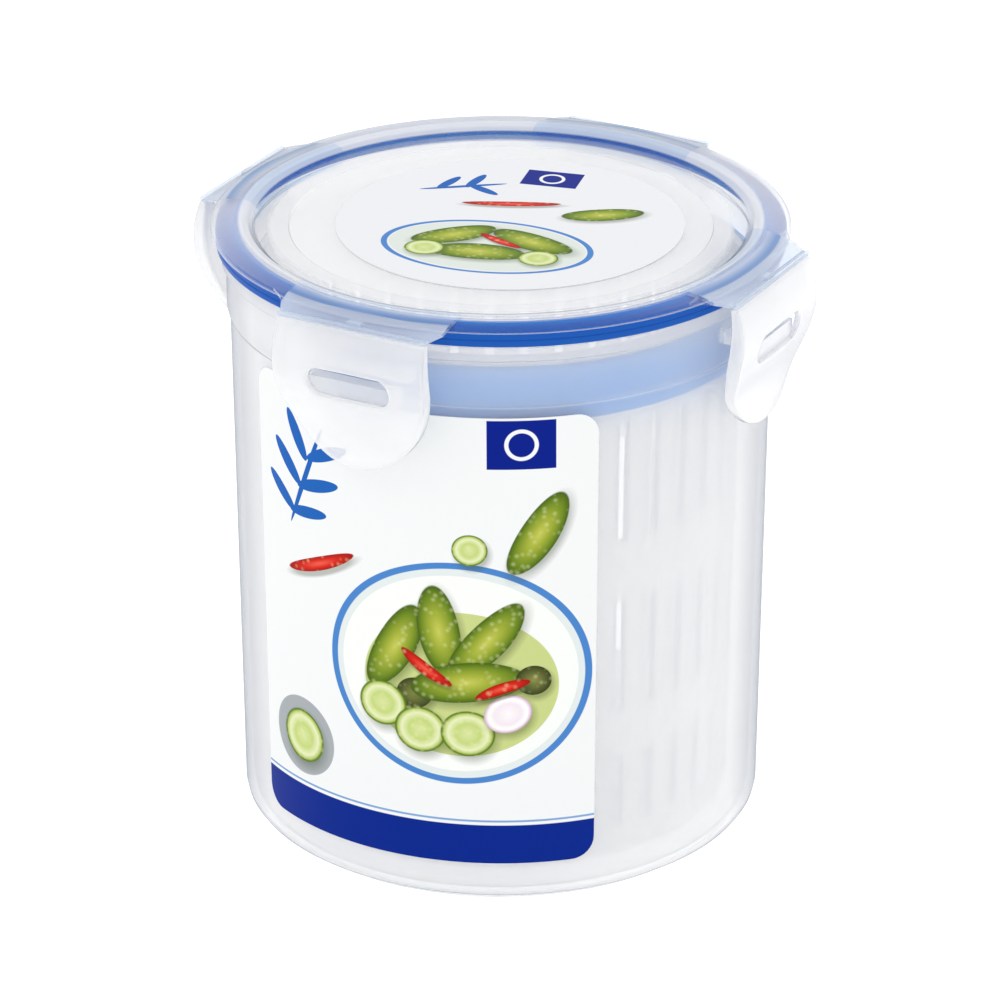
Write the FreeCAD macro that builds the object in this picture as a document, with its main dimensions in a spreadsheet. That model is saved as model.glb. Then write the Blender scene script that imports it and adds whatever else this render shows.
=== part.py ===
import FreeCAD
import Part
import Sketcher
import os

# Clip-lid canister with a lift-out strainer.
# +Z is up, the origin is the middle of the foot, the front latch is on -Y. Sizes are in millimetres.

SIZES = {
    # container: a drafted cup with a foot ring, a wider neck and a band under the rim
    "foot_lift": 1.0,
    "foot_bore": 41.2,
    "foot_radius": 43.3,
    "foot_height": 1.2,
    "heel_radius": 46.8,
    "heel_round": 3.0,
    "shoulder_radius": 47.95,
    "shoulder_height": 96.6,
    "shoulder_rise": 0.6,
    "neck_radius": 48.5,
    "band_radius": 49.3,
    "band_low": 105.6,
    "band_top": 108.6,
    "band_slope": 0.4,
    "lip_radius": 48.4,
    "lip_top": 110.4,
    "lip_round": 0.5,
    "bore_radius": 47.1,
    "bore_shoulder": 46.5,
    "floor_radius": 45.3,
    "floor_height": 2.2,
    "floor_round": 2.5,
    # hook bars on the neck, one behind each latch
    "hook_root": 47.3,
    "hook_reach": 50.2,
    "hook_low": 101.45,
    "hook_face": 1.3,
    "hook_top": 104.2,
    "hook_crest": 48.9,
    "hook_length": 19.0,
    "latch_count": 4,
    # lid: a recessed panel inside a domed rim that caps the gasket
    "plug_bore": 44.1,
    "plug_radius": 45.3,
    "plug_low": 108.9,
    "panel_under": 110.1,
    "panel_top": 111.5,
    "panel_edge": 43.2,
    "centre_radius": 37.5,
    "centre_drop": 0.2,
    "crest_inner": 44.6,
    "crest_shoulder": 112.8,
    "crest_radius": 45.7,
    "crest_top": 113.1,
    "slope_start": 47.0,
    "slope_start_top": 113.0,
    "slope_end": 50.6,
    "slope_end_top": 112.35,
    "rim_radius": 51.1,
    "rim_corner": 112.0,
    "rim_low": 111.7,
    "channel_radius": 50.4,
    "channel_edge": 111.7,
    "channel_top": 112.2,
    # platforms that carry the latches, ending in a thin web and a bead on the hinge line
    "platform_root": 47.9,
    "platform_root_half": 17.5,
    "platform_root_side": 111.9,
    "platform_root_bend": 180.0,
    "platform_root_low": 111.5,
    "platform_middle": 50.3,
    "platform_middle_half": 15.4,
    "platform_middle_side": 111.9,
    "platform_middle_bend": 600.0,
    "platform_middle_low": 111.3,
    "platform_edge": 52.2,
    "platform_edge_half": 14.4,
    "platform_edge_side": 111.45,
    "platform_edge_bend": 2000.0,
    "platform_edge_low": 110.75,
    "tab_start": 51.0,
    "tab_end": 52.5,
    "tab_low": 111.1,
    "tab_top": 111.75,
    "tab_width": 2.8,
    "hinge_distance": 53.0,
    "hinge_height": 111.0,
    "web_half": 0.2,
    "bead_radius": 0.45,
    "hinge_length": 28.8,
    # gasket: a silicone ring folded over the container's lip
    "gasket_outer": 50.3,
    "gasket_low": 108.9,
    "gasket_edge": 111.6,
    "gasket_top": 112.1,
    "gasket_inner": 45.4,
    "gasket_inner_low": 109.3,
    "gasket_groove_inner": 46.9,
    "gasket_groove_outer": 48.6,
    "gasket_groove_top": 110.75,
    "gasket_round": 0.5,
    # latch outline, measured from its own middle
    "latch_top_half": 14.4,
    "latch_side_half": 14.75,
    "latch_side_height": 101.0,
    "latch_side_bend": 300.0,
    "latch_flank_half": 7.4,
    "latch_flank_height": 87.1,
    "latch_flank_bend": 18.9,
    "latch_tip_bend": 12.0,
    "latch_tip_height": 84.6,
    "latch_skin": 1.3,
    "latch_margin": 4.0,
    "latch_stock_half": 19.9,
    "latch_notch": 0.55,
    # window through the latch, with the lug that locks under the hook bar in its lower half
    "window_half": 6.0,
    "window_low": 98.0,
    "window_top": 103.2,
    "window_bend": 2.7,
    "lug_reach": 50.4,
    "lug_back": 53.3,
    "lug_low": 96.8,
    "lug_foot": 98.4,
    "lug_top": 101.0,
    "lug_half": 8.4,
    # strainer: slotted basket with a plain collar
    "tray_turn": -4.5,
    "tray_floor": 4.2,
    "tray_floor_top": 5.5,
    "tray_foot_bore": 35.4,
    "tray_foot_radius": 37.0,
    "tray_foot_low": 2.5,
    "tray_base_radius": 41.2,
    "tray_base_round": 1.6,
    "tray_wall_radius": 42.6,
    "tray_inner_base": 39.9,
    "tray_inner_wall": 41.3,
    "collar_low": 90.8,
    "collar_radius": 43.85,
    "collar_inner": 42.65,
    "collar_ledge": 1.4,
    "collar_top": 104.6,
    "slot_width": 2.0,
    "slot_start": 38.0,
    "slot_reach": 8.0,
    "slot_columns": 40,
    "row_top_low": 66.5,
    "row_top_high": 89.2,
    "row_middle_low": 33.5,
    "row_middle_high": 55.0,
    "row_bottom_low": 10.5,
    "row_bottom_high": 24.5,
    "floor_slots": 20,
    "floor_slot_start": 16.0,
    "floor_slot_end": 33.0,
    "floor_slot_half": 1.0,
    # bail handle: a flat half ring that folds round the collar
    "pivot_height": 98.1,
    "pivot_hole": 1.9,
    "pin_radius": 1.83,
    "pin_start": 42.4,
    "pin_end": 45.2,
    "bail_inner": 44.5,
    "bail_outer": 45.9,
    "bail_width": 10.2,
    # paper labels
    "wrap_low": 8.9,
    "wrap_high": 95.0,
    "wrap_low_radius": 46.95,
    "wrap_high_radius": 47.99,
    "paper": 0.15,
    "wrap_angle": 81.3,
    "wrap_centre": -81.9,
    "wrap_round": 3.0,
    "badge_radius": 30.8,
    "badge_x": 1.4,
    "badge_y": 0.75,
}

# the latch's wall from hinge to tip: height, outer face, thickness, curve radius, half width of hollow
LATCH_SECTIONS = (
    ("root", 110.55, 53.60, 1.30, 600.0, 13.0),
    ("brow", 106.50, 54.80, 2.20, 600.0, 13.3),
    ("crest", 102.80, 55.10, 2.70, 500.0, 13.4),
    ("waist", 98.00, 54.30, 2.60, 300.0, 13.0),
    ("bow", 92.50, 52.90, 2.10, 110.0, 10.6),
    ("tip", 84.00, 52.20, 1.50, 80.0, 4.4),
)

LATCHES = (("latch_front", -90.0), ("latch_right", 0.0), ("latch_back", 90.0), ("latch_left", 180.0))


def measure(text):
    """Value of a sum or difference of named sizes."""
    total = 0.0
    sign = 1.0
    for word in text.split():
        if word in "+-":
            sign = 1.0 if word == "+" else -1.0
        else:
            total += sign * SIZES[word]
            sign = 1.0
    return total


def bound(text):
    """The same sum as an expression on the size sheet."""
    return " ".join(word if word in "+-" else "Sizes." + word for word in text.split())


def make_sheet(doc):
    """Write every driving size to the sheet under its own alias."""
    sheet = doc.addObject("Spreadsheet::Sheet", "Sizes")
    rows = dict(SIZES)
    for name, height, face, thick, bend, hollow in LATCH_SECTIONS:
        rows.update({name + "_height": height, name + "_face": face, name + "_thick": thick,
                     name + "_bend": bend, name + "_hollow": hollow})
    for row, (name, value) in enumerate(rows.items(), start=1):
        sheet.set("A%d" % row, name)
        sheet.set("B%d" % row, "%g" % value)
        sheet.setAlias("B%d" % row, name)
    SIZES.update(rows)
    doc.recompute()
    return sheet


def origin_part(body, role):
    """One of the body's own origin planes or axes."""
    return next(item for item in body.Origin.OriginFeatures if item.Role == role)


def new_sketch(body, name, role, lift=None):
    """Empty sketch on one of the body's own planes, raised by a named size if asked."""
    sketch = body.newObject("Sketcher::SketchObject", name)
    sketch.AttachmentSupport = [(origin_part(body, role), "")]
    sketch.MapMode = "FlatFace"
    if lift:
        sketch.AttachmentOffset = FreeCAD.Placement(FreeCAD.Vector(0, 0, measure(lift)), FreeCAD.Rotation())
        sketch.setExpression("AttachmentOffset.Base.z", bound(lift))
    return sketch


def pin_point(sketch, geometry, end, across, up):
    """Hold one end of a curve at a named place; an empty text is zero."""
    for axis, kind, text in ((-2, "DistanceX", across), (-1, "DistanceY", up)):
        if text:
            index = sketch.addConstraint(Sketcher.Constraint(kind, -1, 1, geometry, end, measure(text)))
            sketch.setExpression("Constraints[%d]" % index, bound(text))
        else:
            sketch.addConstraint(Sketcher.Constraint("PointOnObject", geometry, end, axis))


def polygon(sketch, corners):
    """Closed outline through named corners."""
    places = [FreeCAD.Vector(measure(across), measure(up), 0) for across, up in corners]
    lines = []
    for start, end in zip(places, places[1:] + places[:1]):
        lines.append(sketch.addGeometry(Part.LineSegment(start, end)))
    for line, following in zip(lines, lines[1:] + lines[:1]):
        sketch.addConstraint(Sketcher.Constraint("Coincident", line, 2, following, 1))
    for line, (across, up) in zip(lines, corners):
        pin_point(sketch, line, 1, across, up)


def bowed(sketch, chain, bends):
    """Closed outline, anticlockwise: each side is a line, or an arc of a named radius that bulges outwards."""
    places = [FreeCAD.Vector(measure(across), measure(up), 0) for across, up in chain]
    sides = []
    for start, end, bend in zip(places, places[1:] + places[:1], bends):
        if bend:
            along = end - start
            rise = measure(bend) - (measure(bend) ** 2 - (along.Length / 2) ** 2) ** 0.5
            outward = FreeCAD.Vector(along.y, -along.x, 0).normalize()
            sides.append(sketch.addGeometry(Part.Arc(start, (start + end) / 2 + outward * rise, end)))
        else:
            sides.append(sketch.addGeometry(Part.LineSegment(start, end)))
    for side, following in zip(sides, sides[1:] + sides[:1]):
        sketch.addConstraint(Sketcher.Constraint("Coincident", side, 2, following, 1))
    for side, (across, up), bend in zip(sides, chain, bends):
        pin_point(sketch, side, 1, across, up)
        if bend:
            index = sketch.addConstraint(Sketcher.Constraint("Radius", side, measure(bend)))
            sketch.setExpression("Constraints[%d]" % index, bound(bend))


def rectangle(sketch, left, right, low, high):
    """Closed rectangle between named sides."""
    polygon(sketch, ((left, low), (right, low), (right, high), (left, high)))


def circle(sketch, across, up, radius):
    """Circle with a named centre and radius."""
    centre = FreeCAD.Vector(measure(across), measure(up), 0)
    index = sketch.addGeometry(Part.Circle(centre, FreeCAD.Vector(0, 0, 1), measure(radius)))
    pin_point(sketch, index, 3, across, up)
    size = sketch.addConstraint(Sketcher.Constraint("Radius", index, measure(radius)))
    sketch.setExpression("Constraints[%d]" % size, bound(radius))


def revolve(body, name, corners):
    """Turn an outline in the XZ plane round the Z axis."""
    sketch = new_sketch(body, name + "_profile", "XZ_Plane")
    polygon(sketch, corners)
    turned = body.newObject("PartDesign::Revolution", name)
    turned.Profile = sketch
    turned.ReferenceAxis = (sketch, ["V_Axis"])
    turned.Angle = 360.0
    return turned


def groove(body, name, corners):
    """Cut an outline in the XZ plane round the Z axis."""
    sketch = new_sketch(body, name + "_profile", "XZ_Plane")
    polygon(sketch, corners)
    cut = body.newObject("PartDesign::Groove", name)
    cut.Profile = sketch
    cut.ReferenceAxis = (sketch, ["V_Axis"])
    cut.Angle = 360.0
    return cut


def pad(body, name, sketch, length):
    """Pad a sketch equally to both sides of its plane."""
    grown = body.newObject("PartDesign::Pad", name)
    grown.Profile = sketch
    grown.SideType = "Symmetric"
    grown.Length = measure(length)
    grown.setExpression("Length", bound(length))
    return grown


def pocket(body, name, sketch, both_ways):
    """Cut a sketch through everything, one way or both ways from its plane."""
    cut = body.newObject("PartDesign::Pocket", name)
    cut.Profile = sketch
    cut.Type = "ThroughAll"
    cut.SideType = "Symmetric" if both_ways else "One side"
    return cut


def around(body, name, feature, count):
    """Repeat a feature evenly round the Z axis."""
    pattern = body.newObject("PartDesign::PolarPattern", name)
    pattern.Originals = [feature]
    pattern.Axis = (origin_part(body, "Z_Axis"), [""])
    pattern.Angle = 360.0
    pattern.Occurrences = int(measure(count))
    pattern.setExpression("Occurrences", bound(count))
    body.Tip = pattern
    return pattern


def ring_edges(shape, radius, height):
    """Names of the full circular edges of one radius at one height."""
    names = []
    for number, edge in enumerate(shape.Edges, start=1):
        if isinstance(edge.Curve, Part.Circle):
            centre = edge.Curve.Center
            near = abs(edge.Curve.Radius - radius) < 0.02 and abs(centre.z - height) < 0.02
            if near and abs(centre.x) + abs(centre.y) < 0.02:
                names.append("Edge%d" % number)
    return names


def round_rings(doc, body, name, base, rings, radius):
    """Fillet circular edges, each given by its named radius and height."""
    doc.recompute()
    names = []
    for ring_radius, height in rings:
        names += ring_edges(base.Shape, measure(ring_radius), measure(height))
    rounded = body.newObject("PartDesign::Fillet", name)
    rounded.Base = (base, names)
    rounded.Radius = measure(radius)
    rounded.setExpression("Radius", bound(radius))
    return rounded


def new_body(doc, label):
    """PartDesign body whose label names its file."""
    body = doc.addObject("PartDesign::Body", label)
    body.Label = label
    return body


def make_container(doc):
    """Drafted cup: foot ring, shoulder, neck, band and lip, with four hook bars on the neck."""
    body = new_body(doc, "container")
    cup = revolve(body, "cup", (
        ("", "foot_lift"),
        ("foot_bore", "foot_lift"),
        ("foot_bore", ""),
        ("foot_radius", ""),
        ("foot_radius", "foot_height"),
        ("heel_radius", "foot_height"),
        ("shoulder_radius", "shoulder_height"),
        ("neck_radius", "shoulder_height + shoulder_rise"),
        ("neck_radius", "band_low"),
        ("band_radius", "band_low + band_slope"),
        ("band_radius", "band_top"),
        ("lip_radius", "band_top"),
        ("lip_radius", "lip_top"),
        ("bore_radius", "lip_top"),
        ("bore_radius", "shoulder_height + shoulder_rise"),
        ("bore_shoulder", "shoulder_height"),
        ("floor_radius", "floor_height"),
        ("", "floor_height")))
    heel = round_rings(doc, body, "heel", cup, (("heel_radius", "foot_height"),), "heel_round")
    corner = round_rings(doc, body, "corner", heel, (("floor_radius", "floor_height"),), "floor_round")
    lip = round_rings(doc, body, "lip", corner,
                      (("lip_radius", "lip_top"), ("bore_radius", "lip_top")), "lip_round")
    section = new_sketch(body, "hook_section", "XZ_Plane")
    polygon(section, (
        ("hook_root", "hook_low"),
        ("hook_reach", "hook_low"),
        ("hook_reach", "hook_low + hook_face"),
        ("hook_crest", "hook_top"),
        ("hook_root", "hook_top")))
    hook = pad(body, "hook", section, "hook_length")
    around(body, "hooks", hook, "latch_count")
    return body


def make_lid(doc):
    """Recessed panel, plug wall and domed rim, four latch platforms, then the gasket channel."""
    body = new_body(doc, "lid")
    revolve(body, "cap", (
        ("", "panel_under"),
        ("plug_bore", "panel_under"),
        ("plug_bore", "plug_low"),
        ("plug_radius", "plug_low"),
        ("plug_radius", "rim_low"),
        ("rim_radius", "rim_low"),
        ("rim_radius", "rim_corner"),
        ("slope_end", "slope_end_top"),
        ("slope_start", "slope_start_top"),
        ("crest_radius", "crest_top"),
        ("crest_inner", "crest_shoulder"),
        ("panel_edge", "panel_top"),
        ("centre_radius", "panel_top"),
        ("centre_radius - centre_drop", "panel_top - centre_drop"),
        ("", "panel_top - centre_drop")))
    sections = []
    for place in ("platform_root", "platform_middle", "platform_edge"):
        section = new_sketch(body, place + "_section", "YZ_Plane", place)
        half, low, side = place + "_half", place + "_low", place + "_side"
        bowed(section, (("- " + half, low), (half, low), (half, side), ("- " + half, side)),
              ("", "", place + "_bend", ""))
        sections.append(section)
    platform = loft(body, "platform", "PartDesign::AdditiveLoft", sections)
    around(body, "platforms", platform, "latch_count")
    web_section = new_sketch(body, "web_section", "XZ_Plane")
    rectangle(web_section, "platform_edge - web_half", "hinge_distance",
              "hinge_height - web_half", "hinge_height + web_half")
    web = pad(body, "web", web_section, "hinge_length")
    around(body, "webs", web, "latch_count")
    tab_section = new_sketch(body, "tab_section", "XZ_Plane")
    rectangle(tab_section, "tab_start", "tab_end", "tab_low", "tab_top")
    tab = pad(body, "tab", tab_section, "tab_width")
    around(body, "tabs", tab, "latch_count")
    bead_section = new_sketch(body, "bead_section", "XZ_Plane")
    circle(bead_section, "hinge_distance", "hinge_height", "bead_radius")
    bead = pad(body, "bead", bead_section, "hinge_length")
    around(body, "beads", bead, "latch_count")
    groove(body, "channel", (
        ("plug_radius", "plug_low"),
        ("channel_radius", "plug_low"),
        ("channel_radius", "channel_edge"),
        ("slope_start", "channel_top"),
        ("plug_radius", "channel_top")))
    return body


def make_gasket(doc):
    """Silicone ring, an upside-down U over the container's lip."""
    body = new_body(doc, "gasket")
    ring = revolve(body, "seal", (
        ("gasket_groove_outer", "gasket_low"),
        ("gasket_outer", "gasket_low"),
        ("gasket_outer", "gasket_edge"),
        ("slope_start", "gasket_top"),
        ("gasket_inner", "gasket_top"),
        ("gasket_inner", "gasket_inner_low"),
        ("gasket_groove_inner", "gasket_inner_low"),
        ("gasket_groove_inner", "gasket_groove_top"),
        ("gasket_groove_outer", "gasket_groove_top")))
    round_rings(doc, body, "soft_edges", ring,
                (("gasket_outer", "gasket_low"), ("gasket_inner", "gasket_inner_low")), "gasket_round")
    return body


def latch_section(body, name, lift, face, thick, bend, half):
    """Bowed strip across the latch: two arcs about one centre, closed by two straight ends."""
    sketch = new_sketch(body, name, "XY_Plane", lift)
    centre = measure(face) - measure(bend)
    edges = []
    for radius in (bend, bend + " - " + thick):
        size = measure(radius)
        rise = (size ** 2 - measure(half) ** 2) ** 0.5
        ends = [FreeCAD.Vector(centre + rise, side * measure(half), 0) for side in (-1, 1)]
        middle = FreeCAD.Vector(centre + size, 0, 0)
        edges.append(sketch.addGeometry(Part.Arc(ends[0], middle, ends[1])))
        edges.append(ends)
    outer, outer_ends, inner, inner_ends = edges
    sides = [sketch.addGeometry(Part.LineSegment(outer_ends[k], inner_ends[k])) for k in (0, 1)]
    for index, side in enumerate(sides):
        sketch.addConstraint(Sketcher.Constraint("Coincident", outer, index + 1, side, 1))
        sketch.addConstraint(Sketcher.Constraint("Coincident", inner, index + 1, side, 2))
    sketch.addConstraint(Sketcher.Constraint("Coincident", outer, 3, inner, 3))
    pin_point(sketch, outer, 3, face + " - " + bend, "")
    for arc, radius in ((outer, bend), (inner, bend + " - " + thick)):
        size = sketch.addConstraint(Sketcher.Constraint("Radius", arc, measure(radius)))
        sketch.setExpression("Constraints[%d]" % size, bound(radius))
        for end, sign in ((1, "- "), (2, "")):
            place = sketch.addConstraint(Sketcher.Constraint("DistanceY", -1, 1, arc, end, measure(sign + half)))
            sketch.setExpression("Constraints[%d]" % place, bound(sign + half))
    return sketch


def loft(body, name, kind, sections):
    """Smooth loft through a row of sections."""
    shape = body.newObject(kind, name)
    shape.Profile = sections[0]
    shape.Sections = sections[1:]
    shape.Ruled = False
    return shape


def latch_border(sketch):
    """Everything outside the latch's outline, which narrows in bowed flanks to a round tip."""
    rectangle(sketch, "- latch_stock_half - latch_margin", "latch_stock_half + latch_margin",
              "latch_tip_height - latch_margin", "hinge_height + latch_margin")
    flank = (("latch_top_half", "hinge_height + web_half"), ("latch_side_half", "latch_side_height"),
             ("latch_flank_half", "latch_flank_height"))
    left = [("- " + across, up) for across, up in flank]
    bowed(sketch, left + list(reversed(flank)), ("latch_side_bend", "latch_flank_bend", "latch_tip_bend",
                                                "latch_flank_bend", "latch_side_bend", ""))


def make_latch(doc, label, turn):
    """One latch: a bowed wall with a rib round its edge, a window and the lug that locks the lid."""
    body = new_body(doc, label)
    names = [section[0] for section in LATCH_SECTIONS]
    walls = [latch_section(body, "wall_" + name, name + "_height", name + "_face", name + "_thick",
                           name + "_bend", "latch_stock_half") for name in names]
    loft(body, "wall", "PartDesign::AdditiveLoft", walls)
    border = new_sketch(body, "border", "YZ_Plane")
    latch_border(border)
    pocket(body, "outline", border, True)
    hollows = [latch_section(body, "hollow_" + name, name + "_height", name + "_face - latch_skin",
                             "latch_margin", name + "_bend", name + "_hollow") for name in names[:-1]]
    hollows.append(latch_section(body, "hollow_tip", "tip_height + latch_margin", "tip_face - latch_skin",
                                 "latch_margin", "tip_bend", "tip_hollow"))
    loft(body, "hollow", "PartDesign::SubtractiveLoft", hollows)
    opening = new_sketch(body, "window_outline", "YZ_Plane")
    bowed(opening, (("window_half", "window_low"), ("window_half", "window_top"),
                    ("- window_half", "window_top"), ("- window_half", "window_low")),
          ("window_bend", "", "window_bend", ""))
    pocket(body, "window", opening, True)
    lug_section = new_sketch(body, "lug_section", "XZ_Plane")
    polygon(lug_section, (
        ("lug_reach", "lug_foot"),
        ("lug_back - latch_notch", "lug_low"),
        ("lug_back", "lug_low"),
        ("lug_back", "lug_top"),
        ("lug_reach", "lug_top")))
    pad(body, "lug", lug_section, "lug_half + lug_half")
    notch_section = new_sketch(body, "notch_section", "XZ_Plane")
    circle(notch_section, "hinge_distance", "hinge_height", "latch_notch")
    pocket(body, "notch", notch_section, True)
    body.Placement = FreeCAD.Placement(FreeCAD.Vector(), FreeCAD.Rotation(FreeCAD.Vector(0, 0, 1), turn))
    return body


def make_strainer(doc):
    """Tapered basket: plain collar, three rows of slots, a slotted floor and a low foot ring."""
    body = new_body(doc, "basket_body")
    basket = revolve(body, "basket", (
        ("", "tray_floor"),
        ("tray_foot_bore", "tray_floor"),
        ("tray_foot_bore", "tray_foot_low"),
        ("tray_foot_radius", "tray_foot_low"),
        ("tray_foot_radius", "tray_floor"),
        ("tray_base_radius", "tray_floor"),
        ("tray_wall_radius", "collar_low"),
        ("collar_radius", "collar_low"),
        ("collar_radius", "collar_top"),
        ("collar_inner", "collar_top"),
        ("collar_inner", "collar_low + collar_ledge"),
        ("tray_inner_wall", "collar_low"),
        ("tray_inner_base", "tray_floor_top"),
        ("", "tray_floor_top")))
    round_rings(doc, body, "base_round", basket, (("tray_base_radius", "tray_floor"),), "tray_base_round")
    spoke = new_sketch(body, "floor_slot", "XY_Plane")
    rectangle(spoke, "floor_slot_start", "floor_slot_end", "- floor_slot_half", "floor_slot_half")
    floor_slot = pocket(body, "floor_cut", spoke, False)
    floor_slot.Type = "Length"
    floor_slot.Length = measure("tray_floor_top + tray_floor")
    floor_slot.setExpression("Length", bound("tray_floor_top + tray_floor"))
    floor_slot.Reversed = True
    around(body, "floor_cuts", floor_slot, "floor_slots")
    holes = new_sketch(body, "pivot_section", "XZ_Plane")
    circle(holes, "", "pivot_height", "pivot_hole")
    pocket(body, "pivot_holes", holes, True)
    return combined(doc, "Part::Cut", "strainer", body, slot_cutters(doc))


def slot_cutters(doc):
    """Upright blocks, one for each slot: columns all round, in three rows."""
    blocks = []
    count = int(measure("slot_columns"))
    for column in range(count):
        angle = 360.0 * column / count
        turn = FreeCAD.Rotation(FreeCAD.Vector(0, 0, 1), angle)
        for row in ("row_top", "row_middle", "row_bottom"):
            block = primitive(doc, "Part::Box", "slot_%s_%d" % (row, column), {
                "Length": "slot_reach", "Width": "slot_width", "Height": row + "_high - " + row + "_low"})
            corner = FreeCAD.Vector(measure("slot_start"), -measure("slot_width") / 2, measure(row + "_low"))
            block.Placement = FreeCAD.Placement(turn.multVec(corner), turn)
            blocks.append(block)
    cutters = doc.addObject("Part::Compound", "slot_cutters")
    cutters.Links = blocks
    return cutters


def primitive(doc, kind, name, sizes):
    """Part primitive with its sizes bound to the sheet."""
    shape = doc.addObject(kind, name)
    for key, text in sizes.items():
        setattr(shape, key, measure(text))
        shape.setExpression(key, bound(text))
    return shape


def combined(doc, kind, name, *shapes):
    """Boolean of two or more shapes."""
    result = doc.addObject(kind, name)
    if len(shapes) == 2 and kind in ("Part::Cut", "Part::Common"):
        result.Base, result.Tool = shapes
    else:
        result.Shapes = list(shapes)
    return result


def make_handle(doc):
    """Flat half ring with rounded ends; a pin on each end turns in the collar."""
    low = measure("pivot_height") - measure("bail_width") / 2
    ring_outer = primitive(doc, "Part::Cylinder", "bail_outer_face", {"Radius": "bail_outer", "Height": "bail_width"})
    ring_inner = primitive(doc, "Part::Cylinder", "bail_inner_face", {"Radius": "bail_inner", "Height": "bail_width"})
    for ring in (ring_outer, ring_inner):
        ring.Placement.Base = FreeCAD.Vector(0, 0, low)
        ring.setExpression("Placement.Base.z", "Sizes.pivot_height - Sizes.bail_width / 2")
    ring = combined(doc, "Part::Cut", "bail_ring", ring_outer, ring_inner)
    half = primitive(doc, "Part::Box", "bail_half", {
        "Length": "bail_outer", "Width": "bail_outer + bail_outer", "Height": "bail_width"})
    half.Placement.Base = FreeCAD.Vector(0, -measure("bail_outer"), low)
    half.setExpression("Placement.Base.y", "-Sizes.bail_outer")
    half.setExpression("Placement.Base.z", "Sizes.pivot_height - Sizes.bail_width / 2")
    lying = FreeCAD.Rotation(FreeCAD.Vector(1, 0, 0), -90)
    ears = primitive(doc, "Part::Cylinder", "bail_ears", {"Height": "bail_outer + bail_outer"})
    ears.Radius = measure("bail_width") / 2
    ears.setExpression("Radius", "Sizes.bail_width / 2")
    ears.Placement = FreeCAD.Placement(FreeCAD.Vector(0, -measure("bail_outer"), measure("pivot_height")), lying)
    ears.setExpression("Placement.Base.y", "-Sizes.bail_outer")
    ears.setExpression("Placement.Base.z", "Sizes.pivot_height")
    mask = combined(doc, "Part::MultiFuse", "bail_mask", half, ears)
    strap = combined(doc, "Part::Common", "bail_strap", ring, mask)
    pins = []
    for name, start, text in (("pin_front", "- pin_end", "-Sizes.pin_end"), ("pin_back", "pin_start", "Sizes.pin_start")):
        pin = primitive(doc, "Part::Cylinder", name, {"Radius": "pin_radius", "Height": "pin_end - pin_start"})
        pin.Placement = FreeCAD.Placement(FreeCAD.Vector(0, measure(start), measure("pivot_height")), lying)
        pin.setExpression("Placement.Base.y", text)
        pin.setExpression("Placement.Base.z", "Sizes.pivot_height")
        pins.append(pin)
    handle = combined(doc, "Part::MultiFuse", "handle", strap, *pins)
    handle.Label = "handle"
    return handle


def make_body_label(doc):
    """Paper wrapped part of the way round the cup, with rounded corners."""
    body = new_body(doc, "body_label")
    sheet = revolve(body, "wrap", (
        ("wrap_low_radius", "wrap_low"),
        ("wrap_low_radius + paper", "wrap_low"),
        ("wrap_high_radius + paper", "wrap_high"),
        ("wrap_high_radius", "wrap_high")))
    sheet.Midplane = True
    sheet.Angle = measure("wrap_angle")
    sheet.setExpression("Angle", "Sizes.wrap_angle")
    doc.recompute()
    corners = ["Edge%d" % number for number, edge in enumerate(sheet.Shape.Edges, start=1)
               if edge.Length < 2 * measure("paper")]
    rounded = body.newObject("PartDesign::Fillet", "wrap_corners")
    rounded.Base = (sheet, corners)
    rounded.Radius = measure("wrap_round")
    rounded.setExpression("Radius", "Sizes.wrap_round")
    body.Placement = FreeCAD.Placement(
        FreeCAD.Vector(), FreeCAD.Rotation(FreeCAD.Vector(0, 0, 1), measure("wrap_centre")))
    return body


def make_lid_label(doc):
    """Round paper label on the lid's panel."""
    body = new_body(doc, "lid_label")
    sketch = new_sketch(body, "badge_outline", "XY_Plane", "panel_top - centre_drop + paper")
    circle(sketch, "badge_x", "badge_y", "badge_radius")
    pad(body, "badge", sketch, "paper")
    return body


def turned(shape, degrees):
    """Turn a finished sub-part about the Z axis."""
    shape.Placement = FreeCAD.Placement(
        FreeCAD.Vector(), FreeCAD.Rotation(FreeCAD.Vector(0, 0, 1), degrees))
    return shape


def check_and_export(doc, parts):
    """Stop on any failed feature or broken solid, then write one file for each sub-part."""
    doc.recompute()
    for item in doc.Objects:
        if {"Invalid", "Error"} & set(item.State):
            raise RuntimeError("%s failed: %s" % (item.Name, item.State))
    for part in parts:
        shape = part.Shape
        if shape.isNull() or not shape.isValid() or len(shape.Solids) != 1:
            raise RuntimeError("%s is not one sound solid" % part.Label)
    os.makedirs("parts", exist_ok=True)
    for part in parts:
        part.Shape.exportStep("parts/%s.step" % part.Label)
        box = part.Shape.BoundBox
        print("%-12s %9.1f mm3  x %.2f..%.2f  y %.2f..%.2f  z %.2f..%.2f" % (
            part.Label, part.Shape.Volume, box.XMin, box.XMax, box.YMin, box.YMax, box.ZMin, box.ZMax))


def main():
    doc = FreeCAD.newDocument("canister")
    make_sheet(doc)
    parts = [make_container(doc), make_lid(doc), make_gasket(doc)]
    parts += [make_latch(doc, label, turn) for label, turn in LATCHES]
    parts += [turned(make_strainer(doc), measure("tray_turn")), turned(make_handle(doc), measure("tray_turn"))]
    parts += [make_body_label(doc), make_lid_label(doc)]
    check_and_export(doc, parts)


main()
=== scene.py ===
import math

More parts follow.
